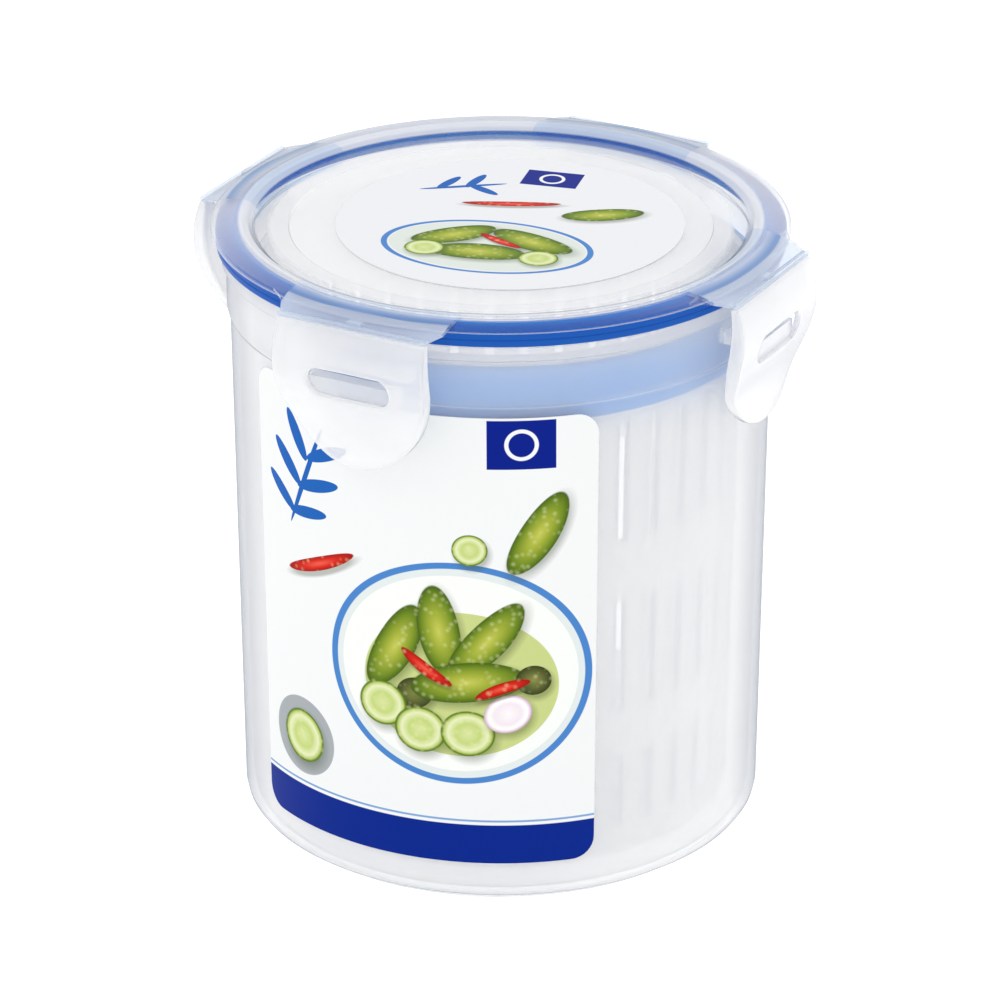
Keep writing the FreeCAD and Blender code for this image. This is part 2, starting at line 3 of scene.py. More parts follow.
import bpy
import numpy as np
from bpy.props import FloatProperty, FloatVectorProperty, IntProperty, PointerProperty
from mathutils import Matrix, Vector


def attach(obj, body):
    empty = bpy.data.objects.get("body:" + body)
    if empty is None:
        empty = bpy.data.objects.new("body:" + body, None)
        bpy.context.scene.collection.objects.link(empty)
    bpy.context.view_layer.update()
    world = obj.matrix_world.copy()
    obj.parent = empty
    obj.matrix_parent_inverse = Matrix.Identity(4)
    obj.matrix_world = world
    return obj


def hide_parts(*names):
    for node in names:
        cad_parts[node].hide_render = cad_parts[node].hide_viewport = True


bl_info = {
    "name": "Clip-lid keeper with lift-out strainer",
    "version": (1, 0, 0),
    "blender": (4, 5, 0),
    "location": "View3D > Sidebar > Keeper",
    "description": "Builds the keeper's smooth mouldings, seal and printed labels over its solids",
    "category": "Object",
}

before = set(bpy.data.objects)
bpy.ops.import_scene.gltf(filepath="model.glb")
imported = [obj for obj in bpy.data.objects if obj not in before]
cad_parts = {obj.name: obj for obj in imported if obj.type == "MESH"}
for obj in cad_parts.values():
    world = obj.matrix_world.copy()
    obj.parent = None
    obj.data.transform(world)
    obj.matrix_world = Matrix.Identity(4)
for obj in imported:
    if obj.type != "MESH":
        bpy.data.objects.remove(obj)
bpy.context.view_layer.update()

# Metres to the millimetre. Points closer than WELD, in millimetres, are one point, and edges steeper than
# SHARP, in degrees, are shaded sharp. PRINT_UNIT is the millimetres of print to a unit of its UV map.
MM = 0.001
WELD = 1e-4
SHARP = 35.0
PRINT_UNIT = 100.0
LATCHES = {"latch_front": -90.0, "latch_right": 0.0, "latch_back": 90.0, "latch_left": 180.0}


# ---------------------------------------------------------------- colours and nodes


def linear(code):
    """sRGB hex colour as linear RGBA: each channel is undone with the sRGB curve."""
    channels = [int(code[i:i + 2], 16) / 255.0 for i in (1, 3, 5)]
    return tuple(c / 12.92 if c <= 0.04045 else ((c + 0.055) / 1.055) ** 2.4 for c in channels) + (1.0,)


def add(tree, kind, settings=None, inputs=None, **named):
    """Add one node. Settings are its attributes.

    Inputs, by number, and named inputs, with _ for a space, are each a value or a socket to link.
    """
    node = tree.nodes.new(kind)
    for key, value in (settings or {}).items():
        setattr(node, key, value)
    spaced = {key.replace("_", " "): value for key, value in named.items()}
    for key, value in {**(inputs or {}), **spaced}.items():
        if isinstance(value, bpy.types.NodeSocket):
            tree.links.new(value, node.inputs[key])
        else:
            node.inputs[key].default_value = value
    return node


def result(tree, kind, settings=None, inputs=None, **named):
    """First output of a new node."""
    return add(tree, kind, settings, inputs, **named).outputs[0]


def maths(tree, operation, *operands, clamped=False):
    """Number worked out by one node."""
    return result(tree, "ShaderNodeMath", {"operation": operation, "use_clamp": clamped},
                  dict(enumerate(operands)))


def vectors(tree, operation, *operands, output="Vector", **named):
    """Vector, or with output="Value" a number, worked out by one node."""
    node = add(tree, "ShaderNodeVectorMath", {"operation": operation}, dict(enumerate(operands)), **named)
    return node.outputs[output]


def along(tree, vector, axis):
    """One coordinate of a vector."""
    return add(tree, "ShaderNodeSeparateXYZ", Vector=vector).outputs[axis]


def plain(tree, colour):
    """Linear colour as a socket."""
    node = add(tree, "ShaderNodeRGB")
    node.outputs[0].default_value = colour
    return node.outputs[0]


def paint(tree, ground, mask, colour):
    """Lay one ink, a hex code, a linear colour or a socket, over the ground wherever the mask is one."""
    ink = linear(colour) if isinstance(colour, str) else colour
    return result(tree, "ShaderNodeMixRGB", Fac=mask, Color1=ground, Color2=ink)


def step(tree, value, low, high):
    """Ramp from zero at low to one at high, flat outside."""
    return result(tree, "ShaderNodeMapRange", Value=value, From_Min=low, From_Max=high)


def mixed(tree, share, first, second):
    """Shader that goes from the first to the second with the share."""
    return result(tree, "ShaderNodeMixShader", None, {0: share, 1: first, 2: second})


def shades(tree, value, stops):
    """Colour ramp through (place, hex) stops."""
    node = add(tree, "ShaderNodeValToRGB", Fac=value)
    band = node.color_ramp
    while len(band.elements) < len(stops):
        band.elements.new(0.5)
    for element, (place, colour) in zip(band.elements, stops):
        element.position = place
        element.color = linear(colour)
    return node.outputs["Color"]


def new_material(name):
    """Empty node material and its tree."""
    material = bpy.data.materials.new(name)
    material.use_nodes = True
    material.node_tree.nodes.clear()
    return material, material.node_tree


def dress(obj, material):
    """Put one material in every slot of a piece."""
    if not obj.material_slots:
        obj.data.materials.append(material)
    for slot in obj.material_slots:
        slot.material = material


# ---------------------------------------------------------------- materials

WHITE = (1.0, 1.0, 1.0, 1.0)
# Seen edge on, a wall is greyed by painted shade, PAINTED_EDGE_SHADE in its colour, and its gloss by a
# painted reflection,
# PAINTED_EDGE_REFLECTION; EDGE_ON is the facing where that starts and where it is whole.
PAINTED_EDGE_SHADE = "#B0B5BF"
PAINTED_EDGE_REFLECTION = "#959BA6"
EDGE_ON = (0.62, 1.0)
# The mirror is weaker than the plastic's own, because most of what a wall would mirror here is white.
PLASTIC_IOR = 1.49
MIRROR_IOR = 1.14
# Where a pad and the seal's skirt start and where they are whole, and how far a printed edge fades, in
# millimetres; how deep a skin's grain is, in metres.
PAD_EDGE, SKIRT_EDGE = (17.0, 15.6), (48.2, 46.6)
INK_EDGE = 0.12
SKIN_DEPTH = 0.0002


def grained(tree, place, scale, strength, depth=SKIN_DEPTH):
    """Normal of a skin with a fine even grain."""
    grain = result(tree, "ShaderNodeTexNoise", Vector=place, Scale=scale, Detail=2.0)
    return result(tree, "ShaderNodeBump", Height=grain, Strength=strength, Distance=depth)


def places_of(tree, place):
    """Sockets for zones: radius, height and pads in millimetres, and how far a face looks sideways.

    A pad reads the radius where the nearer of the two axes across is within PAD_EDGE, and nothing elsewhere.
    Sideways is the part of the face's normal that goes round the upright axis: |position x normal| / radius.
    """
    large = vectors(tree, "SCALE", place, Scale=1.0 / MM)
    flat = vectors(tree, "MULTIPLY", large, (1.0, 1.0, 0.0))
    out = vectors(tree, "LENGTH", flat, output="Value")
    ways = vectors(tree, "ABSOLUTE", large)
    across = maths(tree, "MINIMUM", along(tree, ways, "X"), along(tree, ways, "Y"))
    pad = maths(tree, "MULTIPLY", out, step(tree, across, *PAD_EDGE))
    normal = add(tree, "ShaderNodeNewGeometry").outputs["True Normal"]
    swing = vectors(tree, "ABSOLUTE", vectors(tree, "CROSS_PRODUCT", flat, normal))
    side = maths(tree, "DIVIDE", along(tree, swing, "Z"), out)
    return {"out": out, "up": along(tree, ways, "Z"), "pad": pad, "side": side}


def polypropylene(name, tint, face, edge, bend, through, roughness, ripple_mm, ripple, zones=(), painted_tints=()):
    """Unpigmented polypropylene, injection moulded: a thin milky wall.

    Part of the light goes straight on, the rest comes back or goes on scattered; through is the share of
    that rest that goes on. A wall seen edge on is longer for the light and looks whiter: the milky share
    goes from face to edge while the facing goes between the two values of bend. Edge on it is also greyed
    by painted shade, as PAINTED_EDGE_SHADE says. The mould's skin gives a faint ripple. Only the outside
    mirrors, by
    Fresnel, and edge on what it mirrors is greyed by a painted reflection, as PAINTED_EDGE_REFLECTION says;
    the studio is white.

    Each zone gives its own two shares from one place on: see places_of. Each of the painted tints comes in
    and
    goes out between four places: the lid's are a painted refraction, the seal's blue as the lid's wall would
    show it bent through, and the basket's is painted shade on its slots' sides.
    """
    material, tree = new_material(name)
    place = add(tree, "ShaderNodeTexCoord").outputs["Object"]
    normal = grained(tree, place, 1.0 / (ripple_mm * MM), ripple)
    facing = add(tree, "ShaderNodeLayerWeight", Normal=normal, Blend=0.5).outputs["Facing"]
    # How far a face is edge on: it drives the painted shade on the wall and the painted reflection in its
    # gloss.
    depth = step(tree, facing, *EDGE_ON)
    where = places_of(tree, place)
    if zones:
        shares = plain(tree, (face, edge, 0.0, 1.0))
        for way, low, high, *level in zones:
            shares = paint(tree, shares, step(tree, where[way], low, high), (*level, 0.0, 1.0))
        face, edge = along(tree, shares, "X"), along(tree, shares, "Y")
    milk = result(tree, "ShaderNodeMapRange", {"interpolation_type": "SMOOTHSTEP"}, Value=facing,
                  From_Min=bend[0], From_Max=bend[1], To_Min=face, To_Max=edge)
    hue = plain(tree, tint)
    # Painted light: tints for the seal's blue seen through the lid and for shade on slot sides.
    for way, start, full, last, end, colour in painted_tints:
        band = maths(tree, "MULTIPLY", step(tree, where[way], start, full), step(tree, where[way], end, last))
        hue = paint(tree, hue, band, colour)
    # Painted shade: faces seen edge on are greyed in their colour.
    hue = paint(tree, hue, depth, tuple(t * d for t, d in zip(tint, linear(PAINTED_EDGE_SHADE))))
    clear = result(tree, "ShaderNodeBsdfTransparent", Color=hue)
    back = result(tree, "ShaderNodeBsdfPrincipled", Normal=normal, Base_Color=hue, Roughness=roughness,
                  IOR=PLASTIC_IOR)
    onward = result(tree, "ShaderNodeBsdfTranslucent", Normal=normal, Color=hue)
    wall = mixed(tree, milk, clear, mixed(tree, through, back, onward))
    # Painted reflection: edge on, the gloss is greyed, though the studio it mirrors is white.
    gloss = result(tree, "ShaderNodeBsdfGlossy", Normal=normal, Roughness=roughness * 0.5,
                   Color=paint(tree, plain(tree, WHITE), depth, PAINTED_EDGE_REFLECTION))
    inside = add(tree, "ShaderNodeNewGeometry").outputs["Backfacing"]
    mirror = result(tree, "ShaderNodeFresnel", Normal=normal, IOR=MIRROR_IOR)
    mirror = maths(tree, "SUBTRACT", mirror, inside, clamped=True)
    add(tree, "ShaderNodeOutputMaterial", Surface=mixed(tree, mirror, wall, gloss))
    return material


def coloured_plastic(name, colour, roughness):
    """Pigmented polypropylene, injection moulded: opaque and softly glossy, with a faint ripple."""
    material, tree = new_material(name)
    place = add(tree, "ShaderNodeTexCoord").outputs["Object"]
    normal = grained(tree, place, scale=300.0, strength=0.08)
    skin = result(tree, "ShaderNodeBsdfPrincipled", Normal=normal, Base_Color=colour, Roughness=roughness,
                  IOR=PLASTIC_IOR)
    add(tree, "ShaderNodeOutputMaterial", Surface=skin)
    return material


def silicone(name, colour, thin):
    """Blue silicone rubber, compression moulded: satin, its mirror dulled by the plastic pressed on it.

    The inner skirt, inside SKIRT_EDGE, is thin and lets some light into it.
    """
    material, tree = new_material(name)
    place = add(tree, "ShaderNodeTexCoord").outputs["Object"]
    skirt = step(tree, places_of(tree, place)["out"], *SKIRT_EDGE)
    normal = grained(tree, place, scale=2200.0, strength=0.08, depth=0.0001)
    skin = result(tree, "ShaderNodeBsdfPrincipled", Normal=normal, Roughness=0.42, IOR=1.41,
                  Base_Color=paint(tree, plain(tree, colour), skirt, thin), Specular_IOR_Level=0.15)
    add(tree, "ShaderNodeOutputMaterial", Surface=skin)
    return material


# ---------------------------------------------------------------- prints


def moved(tree, place, centre, size, turn=0.0):
    """Place from a motif's middle, turned and scaled so that its rim is at one."""
    return result(tree, "ShaderNodeMapping", {"vector_type": "TEXTURE"}, Vector=place,
                  Location=(*centre, 0.0), Rotation=(0.0, 0.0, math.radians(turn)), Scale=(*size, 1.0))


def spot(tree, place, centre, size, turn=0.0, bend=0.0):
    """Distance from the middle of an ellipse, one at its rim.

    bend lifts the ends: the square of the long way is taken off the short way.
    """
    local = moved(tree, place, centre, size, turn)
    if bend:
        square = vectors(tree, "MULTIPLY", local, local)
        lift = vectors(tree, "SCALE", (0.0, -bend, 0.0), Scale=along(tree, square, "X"))
        local = vectors(tree, "ADD", local, lift)
    return vectors(tree, "LENGTH", local, output="Value")


SKINS = {
    "gherkin": ((0.0, "#C6C95A"), (0.35, "#A3B03C"), (0.75, "#6F8A24"), (1.0, "#3E5A16")),
    "slice": ((0.0, "#D9E3A2"), (0.45, "#C4D67E"), (0.72, "#E6EDBE"), (0.86, "#B9CB6C"), (0.93, "#5E7E22")),
    "chilli": ((0.0, "#F0604C"), (0.5, "#D8281E"), (1.0, "#9E140F")),
    "olive": ((0.0, "#8A8F4A"), (0.6, "#5C6330"), (1.0, "#33391A")),
    "onion": ((0.0, "#FBF7FA"), (0.55, "#F3E7F0"), (0.8, "#FFFFFF"), (1.0, "#C795BE")),
}
# A motif's shadow: ink, drop, growth, where it starts and is whole, and depth. Its pips: ink, scale, where
# they start and are whole, and depth. Each share counts the motif's rim as one.
SHADOW_INK = "#4C5A30"
SHADOW_DROP, SHADOW_GROWTH, SHADOW_FADE, SHADOW_DEPTH = (0.5, -0.8), (1.06, 1.12), (1.12, 0.75), 0.5
PIP_INK = "#EEF0B4"
PIP_SCALE, PIP_FADE, PIP_DEPTH = 0.75, (0.42, 0.05), 0.32
MOTIF_EDGE = (1.0, 0.96)
BLOCK_EDGE = (1.0, 0.985)


def vegetable(tree, ground, place, stops, centre, size, turn=0.0, bend=0.0):
    """Print one vegetable over the ground, with a soft shadow below it and pale pips on its skin."""
    lower = [middle + drop for middle, drop in zip(centre, SHADOW_DROP)]
    wider = [half * growth for half, growth in zip(size, SHADOW_GROWTH)]
    shadow = step(tree, spot(tree, place, lower, wider, turn, bend), *SHADOW_FADE)
    ground = paint(tree, ground, maths(tree, "MULTIPLY", shadow, SHADOW_DEPTH), SHADOW_INK)
    reach = spot(tree, place, centre, size, turn, bend)
    pips = add(tree, "ShaderNodeTexVoronoi", {"feature": "F1"}, Vector=place, Scale=PIP_SCALE)
    glint = maths(tree, "MULTIPLY", step(tree, pips.outputs["Distance"], *PIP_FADE), PIP_DEPTH)
    ink = paint(tree, shades(tree, reach, stops), glint, PIP_INK)
    return paint(tree, ground, step(tree, reach, *MOTIF_EDGE), ink)


def print_on(tree, plan, paper):
    """Print a list of motifs over paper; the first is at the bottom.

    A band has an ink and two heights, a ring an ink, a middle, a size and a width, a block or disc an ink,
    a middle, a size and perhaps a turn, and a vegetable a middle, a size and perhaps a turn and a bend.
    """
    place = vectors(tree, "SCALE", result(tree, "ShaderNodeUVMap", {"uv_map": "print"}), Scale=PRINT_UNIT)
    ground = plain(tree, linear(paper))
    for kind, *rest in plan:
        if kind in SKINS:
            ground = vegetable(tree, ground, place, SKINS[kind], *rest)
            continue
        colour, *rest = rest
        if kind == "band":
            low, high = rest
            height, half = along(tree, place, "Y"), INK_EDGE / 2
            mask = maths(tree, "MULTIPLY", step(tree, height, low - half, low + half),
                         step(tree, height, high + half, high - half))
        elif kind == "block":
            away = vectors(tree, "ABSOLUTE", moved(tree, place, *rest))
            farther = maths(tree, "MAXIMUM", along(tree, away, "X"), along(tree, away, "Y"))
            mask = step(tree, farther, *BLOCK_EDGE)
        elif kind == "ring":
            centre, size, width = rest
            reach = spot(tree, place, centre, size)
            soft, inner = INK_EDGE / max(size), 1.0 - width / max(size)
            mask = maths(tree, "MULTIPLY", step(tree, reach, inner - soft, inner),
                         step(tree, reach, 1.0, 1.0 - soft))
        else:
            mask = step(tree, spot(tree, place, *rest), 1.0, 1.0 - INK_EDGE / max(rest[1]))
        ground = paint(tree, ground, mask, colour)
    return ground


def printed_film(name, plan, paper="#F2F4F4"):
    """Satin white film, offset printed: flat inks that keep their depth under a weak even gloss."""
    material, tree = new_material(name)
    skin = result(tree, "ShaderNodeBsdfPrincipled", Base_Color=print_on(tree, plan, paper), Roughness=0.38,
                  IOR=1.5, Specular_IOR_Level=0.05)
    add(tree, "ShaderNodeOutputMaterial", Surface=skin)
    return material


# ---------------------------------------------------------------- shapes
#
# A shell is a closed surface: points in millimetres and quads that face outwards.


def points_of(*coordinates):
    """Coordinates joined to points, each spread over the whole grid."""
    return np.stack(np.broadcast_arrays(*coordinates), -1)


def circled(radius, angle, height):
    """Points at a radius, a direction and a height."""
    return points_of(radius * np.cos(angle), radius * np.sin(angle), height)


def quarter(count):
    """Angles of a quarter turn in even steps."""
    return np.pi / 2 * np.arange(count) / (count - 1)


def quads_of(rows, columns, wrap_rows, wrap_columns):
    """Corner numbers of a grid's cells; a wrapped way joins its last line to its first."""
    lines = np.arange(rows - (not wrap_rows)), np.arange(columns - (not wrap_columns))
    i, j = np.meshgrid(*lines, indexing="ij")
    below, right = (i + 1) % rows, (j + 1) % columns
    return np.stack([i * columns + j, i * columns + right, below * columns + right, below * columns + j], -1)


def faced(points, quads):
    """Turn every face round when the volume, the sum of the corners' triple products, is negative."""
    a, b, c, d = (points[quads[:, k]] for k in range(4))
    volume = (a * np.cross(b, c)).sum() + (a * np.cross(c, d)).sum()
    return points, quads if volume > 0 else quads[:, ::-1]


def shell(grid, wrap_rows, wrap_columns):
    """Closed surface over a grid of points."""
    rows, columns = grid.shape[:2]
    return faced(grid.reshape(-1, 3), quads_of(rows, columns, wrap_rows, wrap_columns).reshape(-1, 4))


def tube(loops):
    """Shell over loops in a row, closed at each end by a fan to the loop's middle."""
    middle = loops.mean(1, keepdims=True) + 0 * loops
    return shell(np.concatenate([middle[:1], loops, middle[-1:]]), False, True)


def turned(part, degrees):
    """Shell turned about the upright axis."""
    points, quads = part
    c, s = math.cos(math.radians(degrees)), math.sin(math.radians(degrees))
    return points @ np.array([[c, s, 0.0], [-s, c, 0.0], [0.0, 0.0, 1.0]]), quads


def placed(name, data):
    """New object in the scene."""
    thing = bpy.data.objects.new(name, data)
    bpy.context.scene.collection.objects.link(thing)
    return thing


def new_piece(name, shells, body, nodes, prints=None):
    """Mesh of one or more shells, with points that coincide joined and collapsed faces dropped.

    It rides on a body and stands for the named nodes. prints gives each point's place on a print, in
    millimetres, and becomes the UV map "print".
    """
    starts = np.cumsum([0] + [len(points) for points, _ in shells])
    points = np.concatenate([points for points, _ in shells])
    quads = np.concatenate([quads + start for start, (_, quads) in zip(starts, shells)])
    whole = np.round(points / WELD).astype(np.int64)
    _, kept, place = np.unique(whole, axis=0, return_index=True, return_inverse=True)
    quads = place.reshape(-1)[quads]
    same = quads == np.roll(quads, -1, axis=1)
    faces = quads[~same.any(1)].tolist()
    for k in range(4):
        faces += np.delete(quads[same[:, k] & (same.sum(1) == 1)], k, axis=1).tolist()
    mesh = bpy.data.meshes.new(name)
    mesh.from_pydata((points[kept] * MM).tolist(), [], faces)
    mesh.shade_smooth()
    mesh.set_sharp_from_angle(angle=math.radians(SHARP))
    if prints is not None:
        corners = np.zeros(len(mesh.loops), np.int32)
        mesh.loops.foreach_get("vertex_index", corners)
        layer = mesh.uv_layers.new(name="print")
        layer.data.foreach_set("uv", (prints[kept][corners] / PRINT_UNIT).astype(np.float32).ravel())
    piece = placed(name, mesh)
    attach(piece, body)
    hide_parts(*nodes)
    return piece


def rounded(corners, closed, steps=4, support=0.3):
    """Outline through (across, up, radius) corners.

    Each radius becomes an arc that touches both sides, with a point just before and just after it so that
    the flats beside it stay flat in shading; those points keep to their own part of the flat that is left
    between two arcs. The first and last corner of an open outline stay sharp.
    """
    places = np.array([complex(c[0], c[1]) for c in corners])
    radii = np.array([c[2] for c in corners])
    before, after = places - np.roll(places, 1), np.roll(places, -1) - places
    comes, goes = before / np.abs(before), after / np.abs(after)
    turns = np.angle(goes / comes)
    reaches = radii * np.tan(np.abs(turns) / 2)
    flats = np.minimum(support, 0.4 * (np.abs(before) - reaches - np.roll(reaches, 1)))
    outline = []
    for k, (place, radius) in enumerate(zip(places, radii)):
        if radius == 0.0 or (not closed and k in (0, len(places) - 1)):
            outline.append([place] * (1 if not closed and k in (0, len(places) - 1) else steps + 3))
            continue
        come, go, turn = comes[k], goes[k], turns[k]
        start = place - come * reaches[k]
        centre = start + 1j * come * radius * np.sign(turn)
        arc = centre + (start - centre) * np.exp(1j * turn * np.arange(steps + 1) / steps)
        outline.append([arc[0] - come * flats[k], *arc, arc[-1] + go * flats[(k + 1) % len(flats)]])
    chain = np.concatenate(outline)
    return points_of(chain.real, chain.imag)


def around(profile, steps, closed):
    """Profile of (radius, height) turned round the upright axis."""
    angle = np.linspace(0.0, 2 * np.pi, steps, endpoint=False)[:, None]
    return shell(circled(profile[None, :, 0], angle, profile[None, :, 1]), True, closed)


def prism(outline, start, end, bevel, root=None):
    """Outline of (outwards, up) points carried across from start to end, with bevelled ends.

    A root radius makes every point that lies inside that cylinder follow it instead.
    """
    middle = outline.mean(0)
    small = outline + (middle - outline) / np.linalg.norm(middle - outline, axis=1)[:, None] * bevel
    rows = []
    for across, loop in ((start, middle + 0 * outline), (start, small), (start + bevel, outline),
                         *((t, outline) for t in np.linspace(start, end, 9)[1:-1]),
                         (end - bevel, outline), (end, small), (end, middle + 0 * outline)):
        out = loop[:, 0]
        if root:
            out = np.maximum(out, math.sqrt(root ** 2 - across ** 2))
        rows.append(points_of(out, across, loop[:, 1]))
    return shell(np.array(rows), False, True)


def folded(front, back):
    """Two grids as one that goes over the front and comes home over the back, pinched shut at both ends."""
    loop = np.concatenate([front, back[:, ::-1]], 1)
    middle = (front + back) / 2
    pinch = np.concatenate([middle, middle[:, ::-1]], 1)
    return np.concatenate([pinch[:1], loop, pinch[-1:]])


def pierced_shell(outer, inner, kept):
    """Wall between two grids that close round their columns, with cells left out.

    A kept cell has a face on each side, and each edge that a kept cell shares with an open one, or that
    lies on the first or last row, has a face across the wall.
    """
    rows, columns = outer.shape[:2]
    count = rows * columns
    quads = quads_of(rows, columns, False, True)
    faces = [quads[kept][:, ::-1], quads[kept] + count]
    number, none = np.arange(count).reshape(rows, columns), np.zeros((1, columns), bool)
    beside = np.roll(kept, 1, axis=1)
    above, under = np.concatenate([none, kept]), np.concatenate([kept, none])
    for mask, down, right, flip in ((kept & ~beside, 1, 0, False), (beside & ~kept, 1, 0, True),
                                    (under & ~above, 0, 1, True), (above & ~under, 0, 1, False)):
        i, j = np.nonzero(mask)
        here, there = number[i, j], number[i + down, (j + right) % columns]
        side = np.stack([here, there, there + count, here + count], 1)
        faces.append(side[:, ::-1] if flip else side)
    return faced(np.concatenate([outer.reshape(-1, 3), inner.reshape(-1, 3)]), np.concatenate(faces))


def smooth(x, places, values):
    """Curve through (place, value) knots.

    It runs in cubic Hermite spans, whose slope at a knot is the mean slope of its neighbours.
    """
    places, values = np.array(places), np.array(values)
    slopes = np.gradient(values, places)
    k = np.clip(np.searchsorted(places, x) - 1, 0, len(places) - 2)
    span = places[k + 1] - places[k]
    u = np.clip((x - places[k]) / span, 0.0, 1.0)
    return ((1 + 2 * u) * (1 - u) ** 2 * values[k] + u ** 2 * (3 - 2 * u) * values[k + 1]
            + span * u * (1 - u) * ((1 - u) * slopes[k] - u * slopes[k + 1]))


def bow(start, end, radius, count):
    """Arc of a radius from start to end as complex numbers, bulging to its right, without its last point."""
    start, end = complex(*start), complex(*end)
    half = math.asin(abs(end - start) / (2 * radius))
    centre = (start + end) / 2 + 1j * (end - start) / abs(end - start) * radius * math.cos(half)
    return centre + (start - centre) * np.exp(2j * half * np.arange(count) / count)


# ---------------------------------------------------------------- settings


def colour_of(name, described, code):
    """Colour property from a hex code."""
    return FloatVectorProperty(name=name, description=described, subtype="COLOR", size=4, min=0.0, max=1.0,
                               default=linear(code))


def share_of(name, described, value):
    """Property between nothing and all."""
    return FloatProperty(name=name, description=described, subtype="FACTOR", min=0.0, max=1.0, default=value)


def size_of(name, described, value):
    """Size in millimetres."""
    return FloatProperty(name=name, description=described + ", in millimetres", default=value)


def angle_of(name, described, value):
    """Angle in degrees."""
    return FloatProperty(name=name, description=described + ", in degrees", default=value)


def place_of(name, described, value):
    """Point in metres."""
    return FloatVectorProperty(name=name, description=described, subtype="XYZ", unit="LENGTH", size=3,
                               default=value)


def power_of(name, described, value):
    """Power of a lamp in watts."""
    return FloatProperty(name=name, description=described, subtype="POWER", default=value)


class FinishSettings(bpy.types.PropertyGroup):
    """Colours of the plastics and how milky each wall is."""

    tint: colour_of("Plastic", "Tint of the unpigmented plastic", "#FFFFFF")
    seal: colour_of("Seal", "Colour of the silicone ring", "#1657B2")
    skirt: colour_of("Skirt", "Colour of the ring's thin inner skirt", "#1E7AD2")
    frost: colour_of("Frost", "Tint of the basket's frosted plastic", "#FDFDFD")
    bail: colour_of("Bail", "Colour of the strainer's bail", "#559DE0")
    cup_milk: share_of("Cup", "Milkiness of the cup's wall seen face on", 0.32)
    lid_milk: share_of("Lid", "Milkiness of the lid's panel seen face on", 0.60)
    latch_milk: share_of("Latches", "Milkiness of the latches seen face on", 0.46)
    basket_milk: share_of("Basket", "Milkiness of the basket seen face on", 0.50)


class ShapeSettings(bpy.types.PropertyGroup):
    """Sizes of the pieces that a user would change."""

    steps: IntProperty(name="Steps", description="How many steps go round each turned piece", default=288,
                       min=48)
    rib: size_of("Latch rib", "Width of the rib round a latch", 1.4)
    skin: size_of("Latch skin", "Thickness of a latch inside its rib", 1.3)
    slot: size_of("Slot", "Width of a strainer slot", 2.0)
    bail_inner: size_of("Bail bore", "Inner radius of the bail", 44.5)
    bail_outer: size_of("Bail reach", "Outer radius of the bail", 45.9)
    bail_width: size_of("Bail width", "Width of the bail's strap", 10.2)
    basket_turn: angle_of("Basket turn", "How far the basket stands turned", -4.5)


class LabelSettings(bpy.types.PropertyGroup):
    """Where the two labels lie."""

    wrap_low: size_of("Wrap foot", "Height of the wrap's lower edge", 8.9)
    wrap_high: size_of("Wrap head", "Height of the wrap's upper edge", 95.0)
    wrap_low_radius: size_of("Wrap foot radius", "Radius at the lower edge", 46.95)
    wrap_high_radius: size_of("Wrap head radius", "Radius at the upper edge", 47.99)
    wrap_round: size_of("Wrap corner", "Corner radius", 4.0)
    wrap_angle: angle_of("Wrap angle", "How far it goes round", 81.3)
    wrap_centre: angle_of("Wrap centre", "Direction of its middle from +X", -81.9)
    badge_radius: size_of("Badge radius", "Radius of the lid's label", 30.8)
    badge_place: FloatVectorProperty(name="Badge place", size=3, default=(1.4, 0.75, 111.385),
                                     description="Middle of the lid's label, in millimetres")
    badge_turn: angle_of("Badge turn", "Direction of the print's baseline", 13.5)


class StudioSettings(bpy.types.PropertyGroup):
    """The camera and the light."""

    lens: FloatProperty(name="Lens", description="Focal length on a 36 mm sensor", default=199.84,
                        min=20.0)
    camera_place: place_of("Camera", "Where the camera stands", (0.43271, -0.79861, 0.47602))
    target: place_of("Target", "The point it looks at", (0.0, 0.0, 0.057683))
    shift: FloatProperty(name="Shift", description="Sideways shift of the picture", default=-0.00108)
    key: power_of("Key lamp", "Power of the main lamp", 1.35)
    fill: power_of("Fill lamp", "Power of the lamp from the right", 0.15)
    back: power_of("Back lamp", "Power of the lamp from behind", 1.5)
    sky: FloatProperty(name="Sky", description="Strength of the even light from all round", default=0.93,
                       min=0.0)


# ---------------------------------------------------------------- pieces


# Outlines are (radius, height, corner radius). The cup's goes from under the floor up the outside and home.
# Parts that stand at a latch also have half a width, and the hook a root on the cup's wall.
CUP = ((0.0, 1.0, 0.0), (41.2, 1.0, 0.3), (41.2, 0.0, 0.3), (43.3, 0.0, 0.4), (43.3, 1.2, 0.3),
       (46.8, 1.2, 3.0), (47.95, 96.6, 1.0), (48.5, 97.2, 0.9), (48.5, 105.6, 0.2), (49.3, 106.0, 0.25),
       (49.3, 108.6, 0.35), (48.4, 108.6, 0.2), (48.4, 110.4, 0.5), (47.1, 110.4, 0.5), (47.1, 97.2, 0.9),
       (46.5, 96.6, 0.9), (45.3, 2.2, 2.5), (0.0, 2.2, 0.0))
HOOK = ((47.3, 101.45, 0.0), (50.2, 101.45, 0.3), (50.2, 102.75, 0.4), (48.9, 104.2, 0.5), (47.3, 104.2, 0.0))
HOOK_HALF, HOOK_ROOT = 9.5, 47.8
CAP = ((0.0, 110.1, 0.0), (44.1, 110.1, 0.3), (44.1, 108.9, 0.35), (45.3, 108.9, 0.35), (45.3, 112.2, 0.2),
       (47.0, 112.2, 0.2), (50.4, 111.7, 0.15), (51.1, 111.7, 0.12), (51.1, 112.0, 0.12), (50.6, 112.35, 0.3),
       (47.0, 113.0, 1.5), (45.7, 113.1, 0.6), (44.6, 112.8, 0.6), (43.2, 111.5, 0.5), (37.5, 111.5, 0.08),
       (37.3, 111.3, 0.08), (0.0, 111.3, 0.0))
